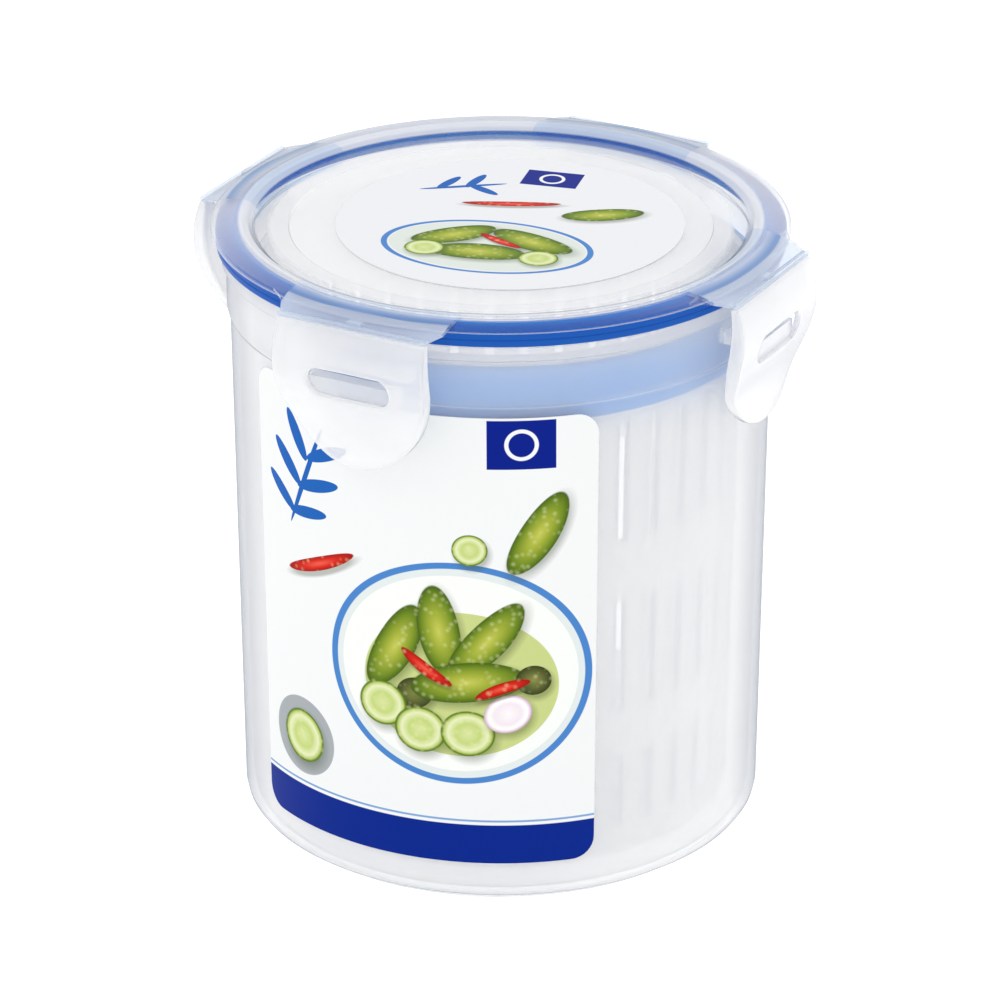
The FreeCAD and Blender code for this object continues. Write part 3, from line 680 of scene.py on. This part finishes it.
TAB = ((51.0, 111.1, 0.0), (52.5, 111.1, 0.15), (52.5, 111.75, 0.2), (51.0, 111.75, 0.0))
TAB_HALF = 1.4
SEAL = ((48.6, 108.9, 0.2), (50.3, 108.9, 0.5), (50.3, 110.1, 0.05), (50.17, 110.25, 0.05),
        (50.3, 110.4, 0.05), (50.3, 111.6, 0.2), (46.0, 112.1, 0.2), (45.7, 111.2, 0.1), (45.4, 111.1, 0.1),
        (45.4, 109.3, 0.5), (46.9, 109.3, 0.2), (46.9, 110.75, 0.2), (48.6, 110.75, 0.2))
FOOT_RING = ((35.4, 2.5, 0.35), (37.0, 2.5, 0.35), (37.0, 4.6, 0.0), (35.4, 4.6, 0.0))
LUG = ((50.4, 98.4, 0.3), (52.75, 96.8, 0.3), (53.3, 96.8, 0.0), (53.3, 101.0, 0.0), (50.4, 101.0, 0.4))
LUG_HALF = 8.4
BEVEL, SMALL_BEVEL = 0.4, 0.15

# The pad under a hinge, outwards: its half width, its underside, its top at the sides and the top's bend.
PAD_OUT = (46.6, 48.6, 50.6, 52.2)
PAD = ((19.0, 16.4, 15.2, 14.4), (111.9, 111.4, 111.1, 110.75), (112.35, 111.95, 111.65, 111.3),
       (300.0, 192.0, 165.0, 520.0))

# The hinge line, its bead's radius and half opening in degrees, and the web that leads to it.
HINGE_OUT, HINGE_UP, HINGE_HALF = 53.0, 111.0, 14.4
BEAD, BEAD_MOUTH = 0.4, 153.6
WEB_OUT, WEB_HALF = 51.9, 0.2

# A latch: its border as arcs (start, end, radius, steps) in (across, up), its window as half width, foot,
# head and end radius, and at heights its outer face, its thickness at the border and the face's bend across.
# From RIB_WIDE down the rib widens to twice its width over RIB_EASE; it keeps inside LATCH_HALF.
LATCH_TOP, LATCH_HEAD, LATCH_HALF = 110.55, 110.5, 15.0
LATCH_BORDER = (((-14.4, 110.55), (-14.75, 101.0), 300.0, 20), ((-14.75, 101.0), (-7.4, 87.1), 18.9, 36),
                ((-7.4, 87.1), (7.4, 87.1), 12.0, 30), ((7.4, 87.1), (14.75, 101.0), 18.9, 36),
                ((14.75, 101.0), (14.4, 110.55), 300.0, 20))
LATCH_SOFT = 0.4
RIB_WIDE, RIB_EASE = 91.0, 5.0
WINDOW = (6.0, 98.0, 103.2, 2.7)
WINDOW_MIDDLE = 100.6
LATCH_UP = (84.0, 92.5, 98.0, 102.8, 106.5, 110.55)
LATCH_WALL = ((52.2, 52.9, 54.3, 55.1, 54.8, 53.6), (1.5, 2.1, 2.6, 2.7, 2.2, 1.3),
              (80.0, 110.0, 300.0, 500.0, 600.0, 600.0))

# The basket's rows on its wall, by height, and on its floor, by radius. Its two faces are a floor's height, a
# heel as (radius, height, corner radius), a wall's heights and radii, and a collar.
WALL_ROWS = (10.5, 15.0, 20.0, 24.5, 29.0, 33.5, 39.0, 44.0, 50.0, 55.0, 61.0, 66.5, 72.0, 78.0, 84.0, 89.2)
FLOOR_ROWS = (0.0, 6.0, 11.0, 16.0, 20.0, 24.5, 29.0, 33.0, 36.0, 38.3)
BASKET_FACES = (
    (4.2, (39.6, 5.8, 1.6), ((4.2, 90.8), (41.2, 42.6)), (
        (42.59, 90.5), (42.6, 90.8), (43.6, 90.8), (43.78, 90.87), (43.85, 91.05), (43.85, 92.2),
        (43.85, 98.0), (43.85, 104.2), (43.77, 104.45), (43.5, 104.6))),
    (5.5, (39.1, 6.3, 0.8), ((5.5, 90.8), (39.9, 41.3)), (
        (41.29, 90.4), (41.3, 90.8), (42.0, 91.5), (42.35, 91.9), (42.65, 92.2), (42.65, 93.5),
        (42.65, 98.0), (42.65, 104.2), (42.73, 104.45), (43.0, 104.6))))

# Its slots: where they are open, how far apart in degrees, columns to a floor slot's pitch, the radius where
# a wall slot has its width, and where and how far the columns slide from the floor's pattern to the wall's.
SLOT_ROWS = ((10.5, 24.5), (33.5, 55.0), (66.5, 89.2))
FLOOR_SLOTS = (16.0, 33.0)
WALL_PITCH, FLOOR_PITCH, COLUMNS = 9.0, 18.0, 12
WALL_MIDDLE = 42.0
SLIDE_START, SLIDE_WIDTH = 33.0, 7.0

# The bail's pivot line, how round its strap's edges are, the square of its least half height, and its pins.
PIVOT_UP = 98.1
BAIL_SOFT, BAIL_TIP = 0.45, 0.04
PIN_RADIUS, PIN_BEVEL = 1.83, 0.25
PIN_SPANS = ((-45.2, -42.4), (42.4, 45.2))

# Zones of the clear plastics, and their painted tints of painted light: see polypropylene.
CUP_ZONES = (("up", 9.5, 5.5, 0.50, 0.85), ("out", 48.75, 49.05, 0.45, 0.80),
             ("out", 49.4, 49.6, 0.85, 0.95))
LID_ZONES = (("out", 37.2, 37.6, 0.40, 0.70), ("out", 40.4, 41.4, 0.05, 0.35),
             ("up", 111.9, 112.15, 0.75, 0.95), ("out", 46.0, 46.5, 0.0, 0.85),
             ("pad", 46.4, 47.4, 0.45, 0.75))
# Painted refraction: blues of the seal laid on the lid over the pads, where its wall would show the seal bent
# through.
LID_PAINTED_SEAL_BLUE = (("pad", 45.6, 46.6, 60.0, 61.0, "#F2F7FD"), ("pad", 42.8, 43.8, 45.6, 46.6, "#E6F1FC"),
              ("pad", 47.4, 49.0, 49.5, 49.8, "#A9CEF2"))
BASKET_ZONES = (("up", 90.0, 91.5, 0.70, 0.95), ("side", 0.5, 0.7, 0.85, 0.95))
# Painted shade: a pale grey on the sides of the slots.
BASKET_PAINTED_SLOT_SHADE = (("side", 0.5, 0.7, 2.0, 3.0, "#F0F1F4"),)


def platform_shell():
    """Lofted pad under one latch's hinge: a rectangle with a bowed top, narrower and thinner further out."""
    out = np.linspace(PAD_OUT[0], PAD_OUT[-1], 9)[:, None]
    half, low, side, bend = (smooth(out, PAD_OUT, row) for row in PAD)
    span = np.linspace(-1.0, 1.0, 33)[None, :]
    top = side + np.sqrt(bend ** 2 - (half * span) ** 2) - np.sqrt(bend ** 2 - half ** 2)
    under, over = (points_of(out, half * span, height) for height in (low, top))
    return tube(np.concatenate([under, over[:, ::-1]], 1))


def hinge_shell():
    """Thin web that ends in a round bead on the hinge line."""
    turn = np.radians(np.linspace(-BEAD_MOUTH, BEAD_MOUTH, 25))
    bead = points_of(HINGE_OUT + BEAD * np.cos(turn), HINGE_UP + BEAD * np.sin(turn))
    under, over = (((WEB_OUT, HINGE_UP + side * WEB_HALF),) for side in (-1, 1))
    return prism(np.concatenate([under, bead, over]), -HINGE_HALF, HINGE_HALF, SMALL_BEVEL)


def latch_shell(rib, skin):
    """One latch as a section carried round its window: it closes both ways, like a ring.

    The section runs over the outer face from the window to the border, round the border, back over the rib
    and the skin's inner face, and out through the window. The outer face is an arc across at every height.
    """
    border = np.concatenate([*(bow(*arc) for arc in LATCH_BORDER),
                             HINGE_HALF - 2 * HINGE_HALF * np.arange(48) / 48 + 1j * LATCH_TOP])
    middle = 1j * WINDOW_MIDDLE
    half, low, high, end = WINDOW
    opening = np.concatenate([
        bow((-half, high), (-half, low), end, 40), np.linspace(-half, half, 41)[:-1] + 1j * low,
        bow((half, low), (half, high), end, 40), np.linspace(half, -half, 41)[:-1] + 1j * high])
    aim, from_middle = np.angle(border - middle), opening - middle
    order = np.argsort(np.angle(from_middle))
    reach = np.interp(aim, np.angle(from_middle)[order], np.abs(from_middle)[order], period=2 * np.pi)
    inner = middle + reach * np.exp(1j * aim)
    course = np.roll(border, -1) - np.roll(border, 1)
    inward = 1j * course / np.abs(course)
    width = rib + rib * np.clip((RIB_WIDE - border.imag) / RIB_EASE, 0.0, 1.0)
    ridge = border + inward * width
    side = np.where(border.imag > LATCH_HEAD, HINGE_HALF - rib, LATCH_HALF)
    ridge = np.clip(ridge.real, -side, side) + 1j * np.minimum(ridge.imag, LATCH_TOP - rib)

    # Shares of the way over the skin and over the rib, with their ends as quarter rounds.
    arc, fall = np.sin(quarter(5))[None, :], 1.0 - np.cos(quarter(5))
    inner, ridge, border = inner[:, None], ridge[:, None], border[:, None]
    reach_in = LATCH_SOFT / np.abs(ridge - inner)
    reach_out = LATCH_SOFT / np.abs(border - ridge)
    skin_line = inner + (ridge - inner) * (reach_in + (1 - reach_in) * np.linspace(0.0, 1.0, 10)[None, :])
    rim = ridge + (border - ridge) * (1 - reach_out + reach_out * arc)
    mouth = inner + (ridge - inner) * (reach_in * (1 - arc))
    there = np.concatenate([skin_line, rim], 1)
    places = np.concatenate([there, rim[:, ::-1], ridge, skin_line[:, ::-1], mouth, mouth[:, ::-1]], 1)
    height = places.imag
    face, thick, bend = (smooth(height, LATCH_UP, row) for row in LATCH_WALL)
    flat, dip = np.zeros(10), LATCH_SOFT * fall
    from_face = np.concatenate([flat, dip, -dip[::-1], [0.0], flat, -dip, dip[::-1]])
    kind = np.repeat((0, 1, 2, 0), (15, 6, 15, 5))[None, :]
    wall = np.where(kind == 1, thick, np.where(kind == 2, np.minimum(skin, thick), 0.0))
    out = face - bend + np.sqrt(bend ** 2 - places.real ** 2) - (wall + from_face[None, :])
    return shell(points_of(out, places.real, height), True, True)


def basket_shell(width):
    """Basket wall and floor as one pierced grid: rows go from the floor's middle up to the rim.

    The columns lie on the edges of the slots: forty slots of even width stand round the wall, twenty lie in
    the floor, and between floor and wall the columns slide from one pattern to the other.
    """
    turn, heights, floor = quarter(6), np.array(WALL_ROWS), np.array(FLOOR_ROWS)
    low, high = (np.concatenate([
        points_of(floor, level), points_of(reach + bend * np.sin(turn), up - bend * np.cos(turn)),
        points_of(np.interp(heights, *wall), heights), collar])
        for level, (reach, up, bend), wall, collar in BASKET_FACES)
    cell, half = np.arange(round(360 / FLOOR_PITCH) * COLUMNS), COLUMNS // 2
    pitch, place = cell // COLUMNS, cell % COLUMNS
    upright = math.degrees(math.asin(width / 2 / WALL_MIDDLE))
    between = upright + (WALL_PITCH - 2 * upright) * (place % half - 1) / (half - 1)
    wall_angle = np.where(place % half == 0, -upright, between) + WALL_PITCH * (place // half)
    flat = np.degrees(np.arcsin(width / 2 / np.clip(low[:, 0], *FLOOR_SLOTS)))[:, None]
    floor_angle = np.where(place == 0, -flat, flat + (FLOOR_PITCH - 2 * flat) * (place - 1) / (COLUMNS - 1))
    slide = np.clip((low[:, 0] - SLIDE_START) / SLIDE_WIDTH, 0.0, 1.0)[:, None]
    angle = np.radians(FLOOR_PITCH * pitch + floor_angle * (1 - slide) + wall_angle * slide)
    reach, height = ((low[:-1] + low[1:]) / 2).T
    rows = np.zeros(len(height), bool)
    for start, end in SLOT_ROWS:
        rows |= (height > start) & (height < end)
    spokes = (reach > FLOOR_SLOTS[0]) & (reach < FLOOR_SLOTS[1])
    kept = ~(rows[:, None] & (place % half == 0)[None, :] | spokes[:, None] & (place == 0)[None, :])
    return pierced_shell(*(circled(face[:, :1], angle, face[:, 1:]) for face in (low, high)), kept)


def bail_shell(inner, outer, width):
    """Flat strap along a half ring: a rounded section is carried round, and its ends are half discs."""
    half, middle, thick = width / 2, (inner + outer) / 2, (outer - inner) / 2
    tip = math.degrees(math.asin(half / middle))
    ease = 1.0 - np.cos(quarter(12))
    angle = np.radians(np.concatenate([-90.0 - tip + tip * ease, np.linspace(-90.0, 90.0, 98)[1:-1],
                                       90.0 + tip - tip * ease[::-1]]))[:, None]
    past = np.clip(-middle * np.cos(angle), 0.0, half)
    tall = np.sqrt(np.clip(half ** 2 - past ** 2, BAIL_TIP, None))
    turn = np.concatenate([np.linspace(0, np.pi / 2, 5) + k * np.pi / 2 for k in range(4)])[None, :]
    soft = np.minimum(BAIL_SOFT, 0.8 * tall + 0.001)
    side = np.repeat((1.0, -1.0, 1.0), (5, 10, 5))[None, :]
    rise = np.repeat((1.0, -1.0), 10)[None, :]
    radius = middle + side * (thick - soft) + soft * np.cos(turn)
    height = PIVOT_UP + rise * np.maximum(tall - soft, 0.0) + np.minimum(soft, tall) * np.sin(turn)
    return tube(circled(radius, angle, height))


def pin_shell(start, end):
    """Short round pin on the pivot line, with softened ends."""
    turn = np.linspace(0.0, 2 * np.pi, 40, endpoint=False)
    circle = points_of(PIN_RADIUS * np.cos(turn), PIVOT_UP + PIN_RADIUS * np.sin(turn))
    return prism(circle, start, end, PIN_BEVEL)


# ---------------------------------------------------------------- operators


# The light crosses many thin walls, so it may bounce often.
CYCLES = {"use_denoising": True, "max_bounces": 48, "transmission_bounces": 24, "transparent_max_bounces": 48,
          "diffuse_bounces": 24}
SENSOR, CLIP_START = 36.0, 0.01
# In metres: half the floor's side and how far it lies under the foot, and each lamp's place and size. The
# lamps look at one point. The floor's glow is whole for rays that look at it, and a share of that as light.
FLOOR_HALF, FLOOR_DROP = 3.0, 0.0002
LAMPS = {"key": ((-0.55, -0.75, 1.15), 0.7), "fill": ((0.95, -0.35, 0.65), 0.8),
         "back": ((0.1, 0.9, 0.9), 0.8)}
LAMP_TARGET = (0.0, 0.0, 0.06)
PAPER, GLOW = (0.90, 0.90, 0.90, 1.0), (0.42, 0.42, 0.42, 1.0)
GLOW_AS_LIGHT = 0.6


class KEEPER_OT_stage(bpy.types.Operator):
    """Camera, floor, world and lamps."""

    bl_idname = "keeper.stage"
    bl_label = "Studio"

    def execute(self, context):
        make_camera(context.scene.keeper_studio)
        make_world(context.scene.keeper_studio.sky)
        make_floor()
        make_lamps(context.scene.keeper_studio)
        context.scene.view_settings.view_transform = "Standard"
        for key, value in CYCLES.items():
            setattr(context.scene.cycles, key, value)
        return {"FINISHED"}


def look_at(thing, place, target):
    """Stand at a place and turn the -Z axis to the target."""
    thing.location = place
    look = thing.location - Vector(target)
    thing.rotation_euler = look.to_track_quat("Z", "Y").to_euler()


def make_camera(studio):
    """The scene's camera, turned to the target."""
    data = bpy.data.cameras.new("camera")
    data.lens = studio.lens
    data.sensor_width = SENSOR
    data.shift_x = studio.shift
    data.clip_start = CLIP_START
    camera = placed("camera", data)
    look_at(camera, studio.camera_place, studio.target)
    bpy.context.scene.camera = camera


def looked_at(tree):
    """One for rays that show a thing: from the camera, through clear plastic or in gloss; zero for light."""
    ways = add(tree, "ShaderNodeLightPath").outputs
    seen = maths(tree, "MAXIMUM", ways["Is Camera Ray"], ways["Is Transmission Ray"])
    return maths(tree, "MAXIMUM", seen, ways["Is Glossy Ray"])


def make_world(sky):
    """White wherever it is looked at, and a plain soft grey as light."""
    world = bpy.data.worlds.new("studio")
    world.use_nodes = True
    tree = world.node_tree
    tree.nodes.clear()
    light, white = (result(tree, "ShaderNodeBackground", Color=WHITE, Strength=level) for level in (sky, 1.0))
    add(tree, "ShaderNodeOutputWorld", Surface=mixed(tree, looked_at(tree), light, white))
    bpy.context.scene.world = world


def make_floor():
    """Pale floor that keeps a soft shadow."""
    mesh = bpy.data.meshes.new("floor")
    corners = [(x * FLOOR_HALF, y * FLOOR_HALF, 0.0) for x, y in ((-1, -1), (1, -1), (1, 1), (-1, 1))]
    mesh.from_pydata(corners, [], [(0, 1, 2, 3)])
    floor = placed("floor", mesh)
    floor.location.z = -FLOOR_DROP
    material, tree = new_material("matt white studio sweep")
    paper = result(tree, "ShaderNodeBsdfDiffuse", Color=PAPER)
    level = maths(tree, "MAXIMUM", looked_at(tree), GLOW_AS_LIGHT)
    glow = result(tree, "ShaderNodeEmission", Strength=level, Color=GLOW)
    both = result(tree, "ShaderNodeAddShader", None, {0: paper, 1: glow})
    add(tree, "ShaderNodeOutputMaterial", Surface=both)
    floor.data.materials.append(material)


def make_lamps(studio):
    """Square lamps, each as strong as its setting says."""
    for name, (place, size) in LAMPS.items():
        data = bpy.data.lights.new(name, "AREA")
        data.energy = getattr(studio, name)
        data.size = size
        look_at(placed(name, data), place, LAMP_TARGET)


class KEEPER_OT_cup(bpy.types.Operator):
    """Drafted cup with its foot ring, neck, band, lip and four hook bars."""

    bl_idname = "keeper.cup"
    bl_label = "Cup"

    def execute(self, context):
        finish, shape = context.scene.keeper_finish, context.scene.keeper_shape
        shells = [around(rounded(CUP, False), shape.steps, False)]
        hook = prism(rounded(HOOK, True), -HOOK_HALF, HOOK_HALF, BEVEL, HOOK_ROOT)
        shells += [turned(hook, angle) for angle in LATCHES.values()]
        cup = new_piece("cup", shells, "container", ["container"])
        dress(cup, polypropylene("moulded polypropylene, cup", finish.tint, finish.cup_milk, edge=0.80,
                                 bend=(0.15, 0.95), through=0.50, roughness=0.30, ripple_mm=6.0, ripple=0.06,
                                 zones=CUP_ZONES))
        return {"FINISHED"}


class KEEPER_OT_lid(bpy.types.Operator):
    """Domed lid with four platforms, each ending in a web, a bead and a small tab."""

    bl_idname = "keeper.lid"
    bl_label = "Lid"

    def execute(self, context):
        finish, shape = context.scene.keeper_finish, context.scene.keeper_shape
        shells = [around(rounded(CAP, False), shape.steps, False)]
        tab = prism(rounded(TAB, True), -TAB_HALF, TAB_HALF, SMALL_BEVEL)
        for part in (platform_shell(), hinge_shell(), tab):
            shells += [turned(part, angle) for angle in LATCHES.values()]
        lid = new_piece("lid_cap", shells, "lid", ["lid"])
        dress(lid, polypropylene("moulded polypropylene, lid", finish.tint, finish.lid_milk, edge=0.90,
                                 bend=(0.45, 0.85), through=0.30, roughness=0.22, ripple_mm=5.0, ripple=0.05,
                                 zones=LID_ZONES, painted_tints=LID_PAINTED_SEAL_BLUE))
        return {"FINISHED"}


class KEEPER_OT_seal(bpy.types.Operator):
    """Silicone ring folded over the cup's lip, with a fine parting groove round its outside."""

    bl_idname = "keeper.seal"
    bl_label = "Seal"

    def execute(self, context):
        finish, shape = context.scene.keeper_finish, context.scene.keeper_shape
        seal = new_piece("seal", [around(rounded(SEAL, True), shape.steps, True)], "lid", ["gasket"])
        dress(seal, silicone("silicone rubber, seal", finish.seal, finish.skirt))
        return {"FINISHED"}


class KEEPER_OT_latches(bpy.types.Operator):
    """Four snap latches, each with a rib, a window and a lug."""

    bl_idname = "keeper.latches"
    bl_label = "Latches"

    def execute(self, context):
        finish, shape = context.scene.keeper_finish, context.scene.keeper_shape
        clear = polypropylene("moulded polypropylene, latches", finish.tint, finish.latch_milk, edge=0.95,
                              bend=(0.1, 0.7), through=0.20, roughness=0.22, ripple_mm=5.0, ripple=0.05)
        wall = latch_shell(shape.rib, shape.skin)
        lug = prism(rounded(LUG, True), -LUG_HALF, LUG_HALF, BEVEL)
        for name, angle in LATCHES.items():
            latch = new_piece(name + "_clip", [turned(wall, angle), turned(lug, angle)], name, [name])
            dress(latch, clear)
        return {"FINISHED"}


class KEEPER_OT_basket(bpy.types.Operator):
    """Lift-out strainer: slotted wall and floor, plain collar and a low foot ring."""

    bl_idname = "keeper.basket"
    bl_label = "Basket"

    def execute(self, context):
        finish, shape = context.scene.keeper_finish, context.scene.keeper_shape
        shells = [basket_shell(shape.slot), around(rounded(FOOT_RING, True), shape.steps, True)]
        shells = [turned(part, shape.basket_turn) for part in shells]
        basket = new_piece("basket", shells, "strainer", ["strainer"])
        dress(basket, polypropylene("frosted polypropylene, basket", finish.frost, finish.basket_milk,
                                    edge=0.95, bend=(0.1, 0.9), through=0.50, roughness=0.45, ripple_mm=3.0,
                                    ripple=0.10, zones=BASKET_ZONES, painted_tints=BASKET_PAINTED_SLOT_SHADE))
        return {"FINISHED"}


class KEEPER_OT_bail(bpy.types.Operator):
    """Flat half-ring bail with a round pin inside each end."""

    bl_idname = "keeper.bail"
    bl_label = "Bail"

    def execute(self, context):
        finish, shape = context.scene.keeper_finish, context.scene.keeper_shape
        shells = [bail_shell(shape.bail_inner, shape.bail_outer, shape.bail_width)]
        shells += [pin_shell(*span) for span in PIN_SPANS]
        shells = [turned(part, shape.basket_turn) for part in shells]
        bail = new_piece("bail", shells, "handle", ["handle"])
        dress(bail, coloured_plastic("moulded polypropylene, blue bail", finish.bail, 0.35))
        return {"FINISHED"}


LEAF_INK = "#1E63B8"


def sprig(*leaves):
    """Stem and leaves of a plain sprig, each (middle, size, turn), in one ink."""
    return (("disc", LEAF_INK, *leaf) for leaf in leaves)


# Prints from the bottom up, in millimetres from the middle of the print's foot or disc.
WRAP_PRINT = (
    ("disc", "#E3EBEA", (9.0, 46.0), (24.0, 21.5)),
    ("disc", "#F7F9F6", (9.0, 46.0), (21.5, 19.0)),
    ("ring", "#4C86CC", (9.0, 46.0), (24.0, 21.5), 1.3),
    ("disc", "#C9D58A", (9.5, 44.0), (17.5, 14.0)),
    ("gherkin", (-2.0, 50.0), (9.5, 3.6), 62.0, 0.12),
    ("gherkin", (6.0, 54.0), (9.0, 3.8), 100.0, -0.10),
    ("gherkin", (14.5, 52.5), (9.5, 3.5), 48.0, 0.12),
    ("olive", (1.5, 41.5), (3.4, 3.0), 20.0),
    ("gherkin", (11.0, 44.5), (10.5, 3.9), 8.0, -0.14),
    ("chilli", (3.5, 46.5), (5.6, 1.2), -35.0, 0.35),
    ("slice", (-4.5, 38.5), (4.6, 4.4)),
    ("slice", (2.5, 34.5), (4.8, 4.5)),
    ("slice", (11.0, 34.5), (4.9, 4.5)),
    ("onion", (18.0, 38.5), (4.4, 3.6), 25.0),
    ("olive", (22.5, 45.0), (3.2, 2.9)),
    ("chilli", (17.0, 43.5), (5.2, 1.1), 20.0, -0.35),
    ("gherkin", (23.5, 73.0), (9.0, 3.4), 58.0, 0.10),
    ("slice", (11.5, 70.0), (3.2, 3.0)),
    ("disc", "#A9AEB2", (-22.5, 26.5), (7.6, 7.6)),
    ("slice", (-22.5, 26.5), (5.2, 5.2)),
    ("block", "#06208A", (20.5, 90.0), (6.0, 4.6)),
    ("ring", "#F4F6F8", (20.5, 90.0), (3.0, 3.0), 0.7),
    *sprig(((-20.5, 78.0), (11.0, 0.55), 68.0), ((-22.6, 85.2), (5.0, 1.25), 118.0),
           ((-15.6, 83.4), (5.0, 1.25), 24.0), ((-25.2, 79.4), (5.0, 1.25), 132.0),
           ((-17.8, 76.8), (5.0, 1.25), 14.0), ((-27.0, 73.2), (4.6, 1.15), 140.0),
           ((-20.2, 71.0), (4.6, 1.15), 8.0)),
    ("chilli", (-17.5, 62.0), (8.6, 1.3), 24.0, 0.30),
    ("band", "#04288C", 0.0, 16.5),
    ("band", "#7FA6D6", 17.1, 17.5),
)
BADGE_PRINT = (
    ("disc", "#ECEDF0", (0.0, 0.0), (30.8, 30.8)),
    ("ring", "#4C86CC", (-1.0, -12.0), (19.0, 12.0), 1.1),
    ("disc", "#DFE6DF", (-1.0, -12.0), (17.6, 10.8)),
    ("gherkin", (-8.0, -8.0), (8.0, 3.4), 35.0, 0.12),
    ("gherkin", (6.0, -8.0), (8.6, 3.4), -24.0, 0.12),
    ("gherkin", (-2.0, -14.5), (8.8, 3.6), 4.0, -0.12),
    ("chilli", (0.5, -9.0), (5.0, 1.0), -30.0, 0.35),
    ("slice", (9.0, -15.0), (3.6, 3.4)),
    ("slice", (-11.5, -15.0), (3.6, 3.4)),
    ("gherkin", (15.0, 7.5), (7.5, 2.8), 22.0, 0.1),
    ("chilli", (-2.0, 8.5), (9.0, 1.1), 12.0, 0.3),
    ("block", "#06208A", (2.0, 22.0), (5.2, 3.6)),
    ("ring", "#F4F6F8", (2.0, 22.0), (2.4, 2.4), 0.6),
    *sprig(((-12.5, 14.5), (8.0, 0.5), 24.0), ((-15.5, 15.6), (3.6, 0.95), 70.0),
           ((-11.0, 17.6), (3.6, 0.95), 76.0), ((-8.6, 13.8), (3.6, 0.95), -30.0)),
)


class KEEPER_OT_labels(bpy.types.Operator):
    """The wrap on the cup and the round label on the lid, both printed film."""

    bl_idname = "keeper.labels"
    bl_label = "Labels"

    def execute(self, context):
        look = context.scene.keeper_labels
        wrap = make_wrap(look)
        dress(wrap, printed_film("printed film, wrap", WRAP_PRINT))
        badge = make_badge(look)
        dress(badge, printed_film("printed film, badge", BADGE_PRINT))
        return {"FINISHED"}


# A film's face stands off its ground; the wrap's back nearly touches it, and the badge's edge is soft.
FILM, FILM_BACK, FILM_SOFT = 0.15, 0.03, 0.05


def make_wrap(look):
    """Sheet on a cone: rows go up, columns go round. A row near a corner is shorter by the corner's arc."""
    rise = look.wrap_high - look.wrap_low
    ease = look.wrap_round * (1.0 - np.cos(quarter(9))) / rise
    share = np.concatenate([ease, np.linspace(ease[-1], 1.0 - ease[-1], 40)[1:-1], 1.0 - ease[::-1]])[:, None]
    near = np.minimum(share, 1.0 - share) * rise
    gap = np.clip(look.wrap_round - near, 0.0, None)
    cut = look.wrap_round - np.sqrt(np.clip(look.wrap_round ** 2 - gap ** 2, 0.0, None))
    radius = look.wrap_low_radius + (look.wrap_high_radius - look.wrap_low_radius) * share
    half = radius * math.radians(look.wrap_angle) / 2 - cut
    arc = half * np.linspace(-1.0, 1.0, 91)[None, :]
    angle, height = math.radians(look.wrap_centre) + arc / radius, look.wrap_low + rise * share
    front, back = (circled(radius + lift, angle, height) for lift in (FILM, FILM_BACK))
    flat = points_of(arc, height)
    return new_piece("wrap", [shell(folded(front, back), False, True)], "container", ["body_label"],
                     folded(flat, flat).reshape(-1, 2))


def make_badge(look):
    """Thin disc turned about its own middle; the print's baseline is turned with it."""
    reach = look.badge_radius
    edge = ((0.0, 0.0, 0.0), (reach, 0.0, FILM_SOFT), (reach, FILM, FILM_SOFT), (0.0, FILM, 0.0))
    points, quads = around(rounded(edge, False), 160, False)
    turn = math.radians(look.badge_turn)
    flat = points[:, :2] @ np.array([[math.cos(turn), -math.sin(turn)], [math.sin(turn), math.cos(turn)]])
    return new_piece("badge", [(points + np.array(look.badge_place), quads)], "lid", ["lid_label"], flat)


class KEEPER_PT_panel(bpy.types.Panel):
    """Lists the steps in the order they are run."""

    bl_label = "Keeper"
    bl_idname = "KEEPER_PT_panel"
    bl_space_type = "VIEW_3D"
    bl_region_type = "UI"
    bl_category = "Keeper"

    def draw(self, context):
        for name in STEPS:
            self.layout.operator("keeper." + name)


STEPS = ("stage", "cup", "seal", "lid", "latches", "basket", "bail", "labels")
GROUPS = {"keeper_finish": FinishSettings, "keeper_shape": ShapeSettings, "keeper_labels": LabelSettings,
          "keeper_studio": StudioSettings}
CLASSES = (*GROUPS.values(), KEEPER_OT_stage, KEEPER_OT_cup, KEEPER_OT_lid, KEEPER_OT_seal, KEEPER_OT_latches,
           KEEPER_OT_basket, KEEPER_OT_bail, KEEPER_OT_labels, KEEPER_PT_panel)


def register():
    for item in CLASSES:
        bpy.utils.register_class(item)
    for name, group in GROUPS.items():
        setattr(bpy.types.Scene, name, PointerProperty(type=group))


def unregister():
    for name in GROUPS:
        delattr(bpy.types.Scene, name)
    for item in reversed(CLASSES):
        bpy.utils.unregister_class(item)


def main():
    register()
    for name in STEPS:
        getattr(bpy.ops.keeper, name)()


if __name__ == "__main__":
    main()
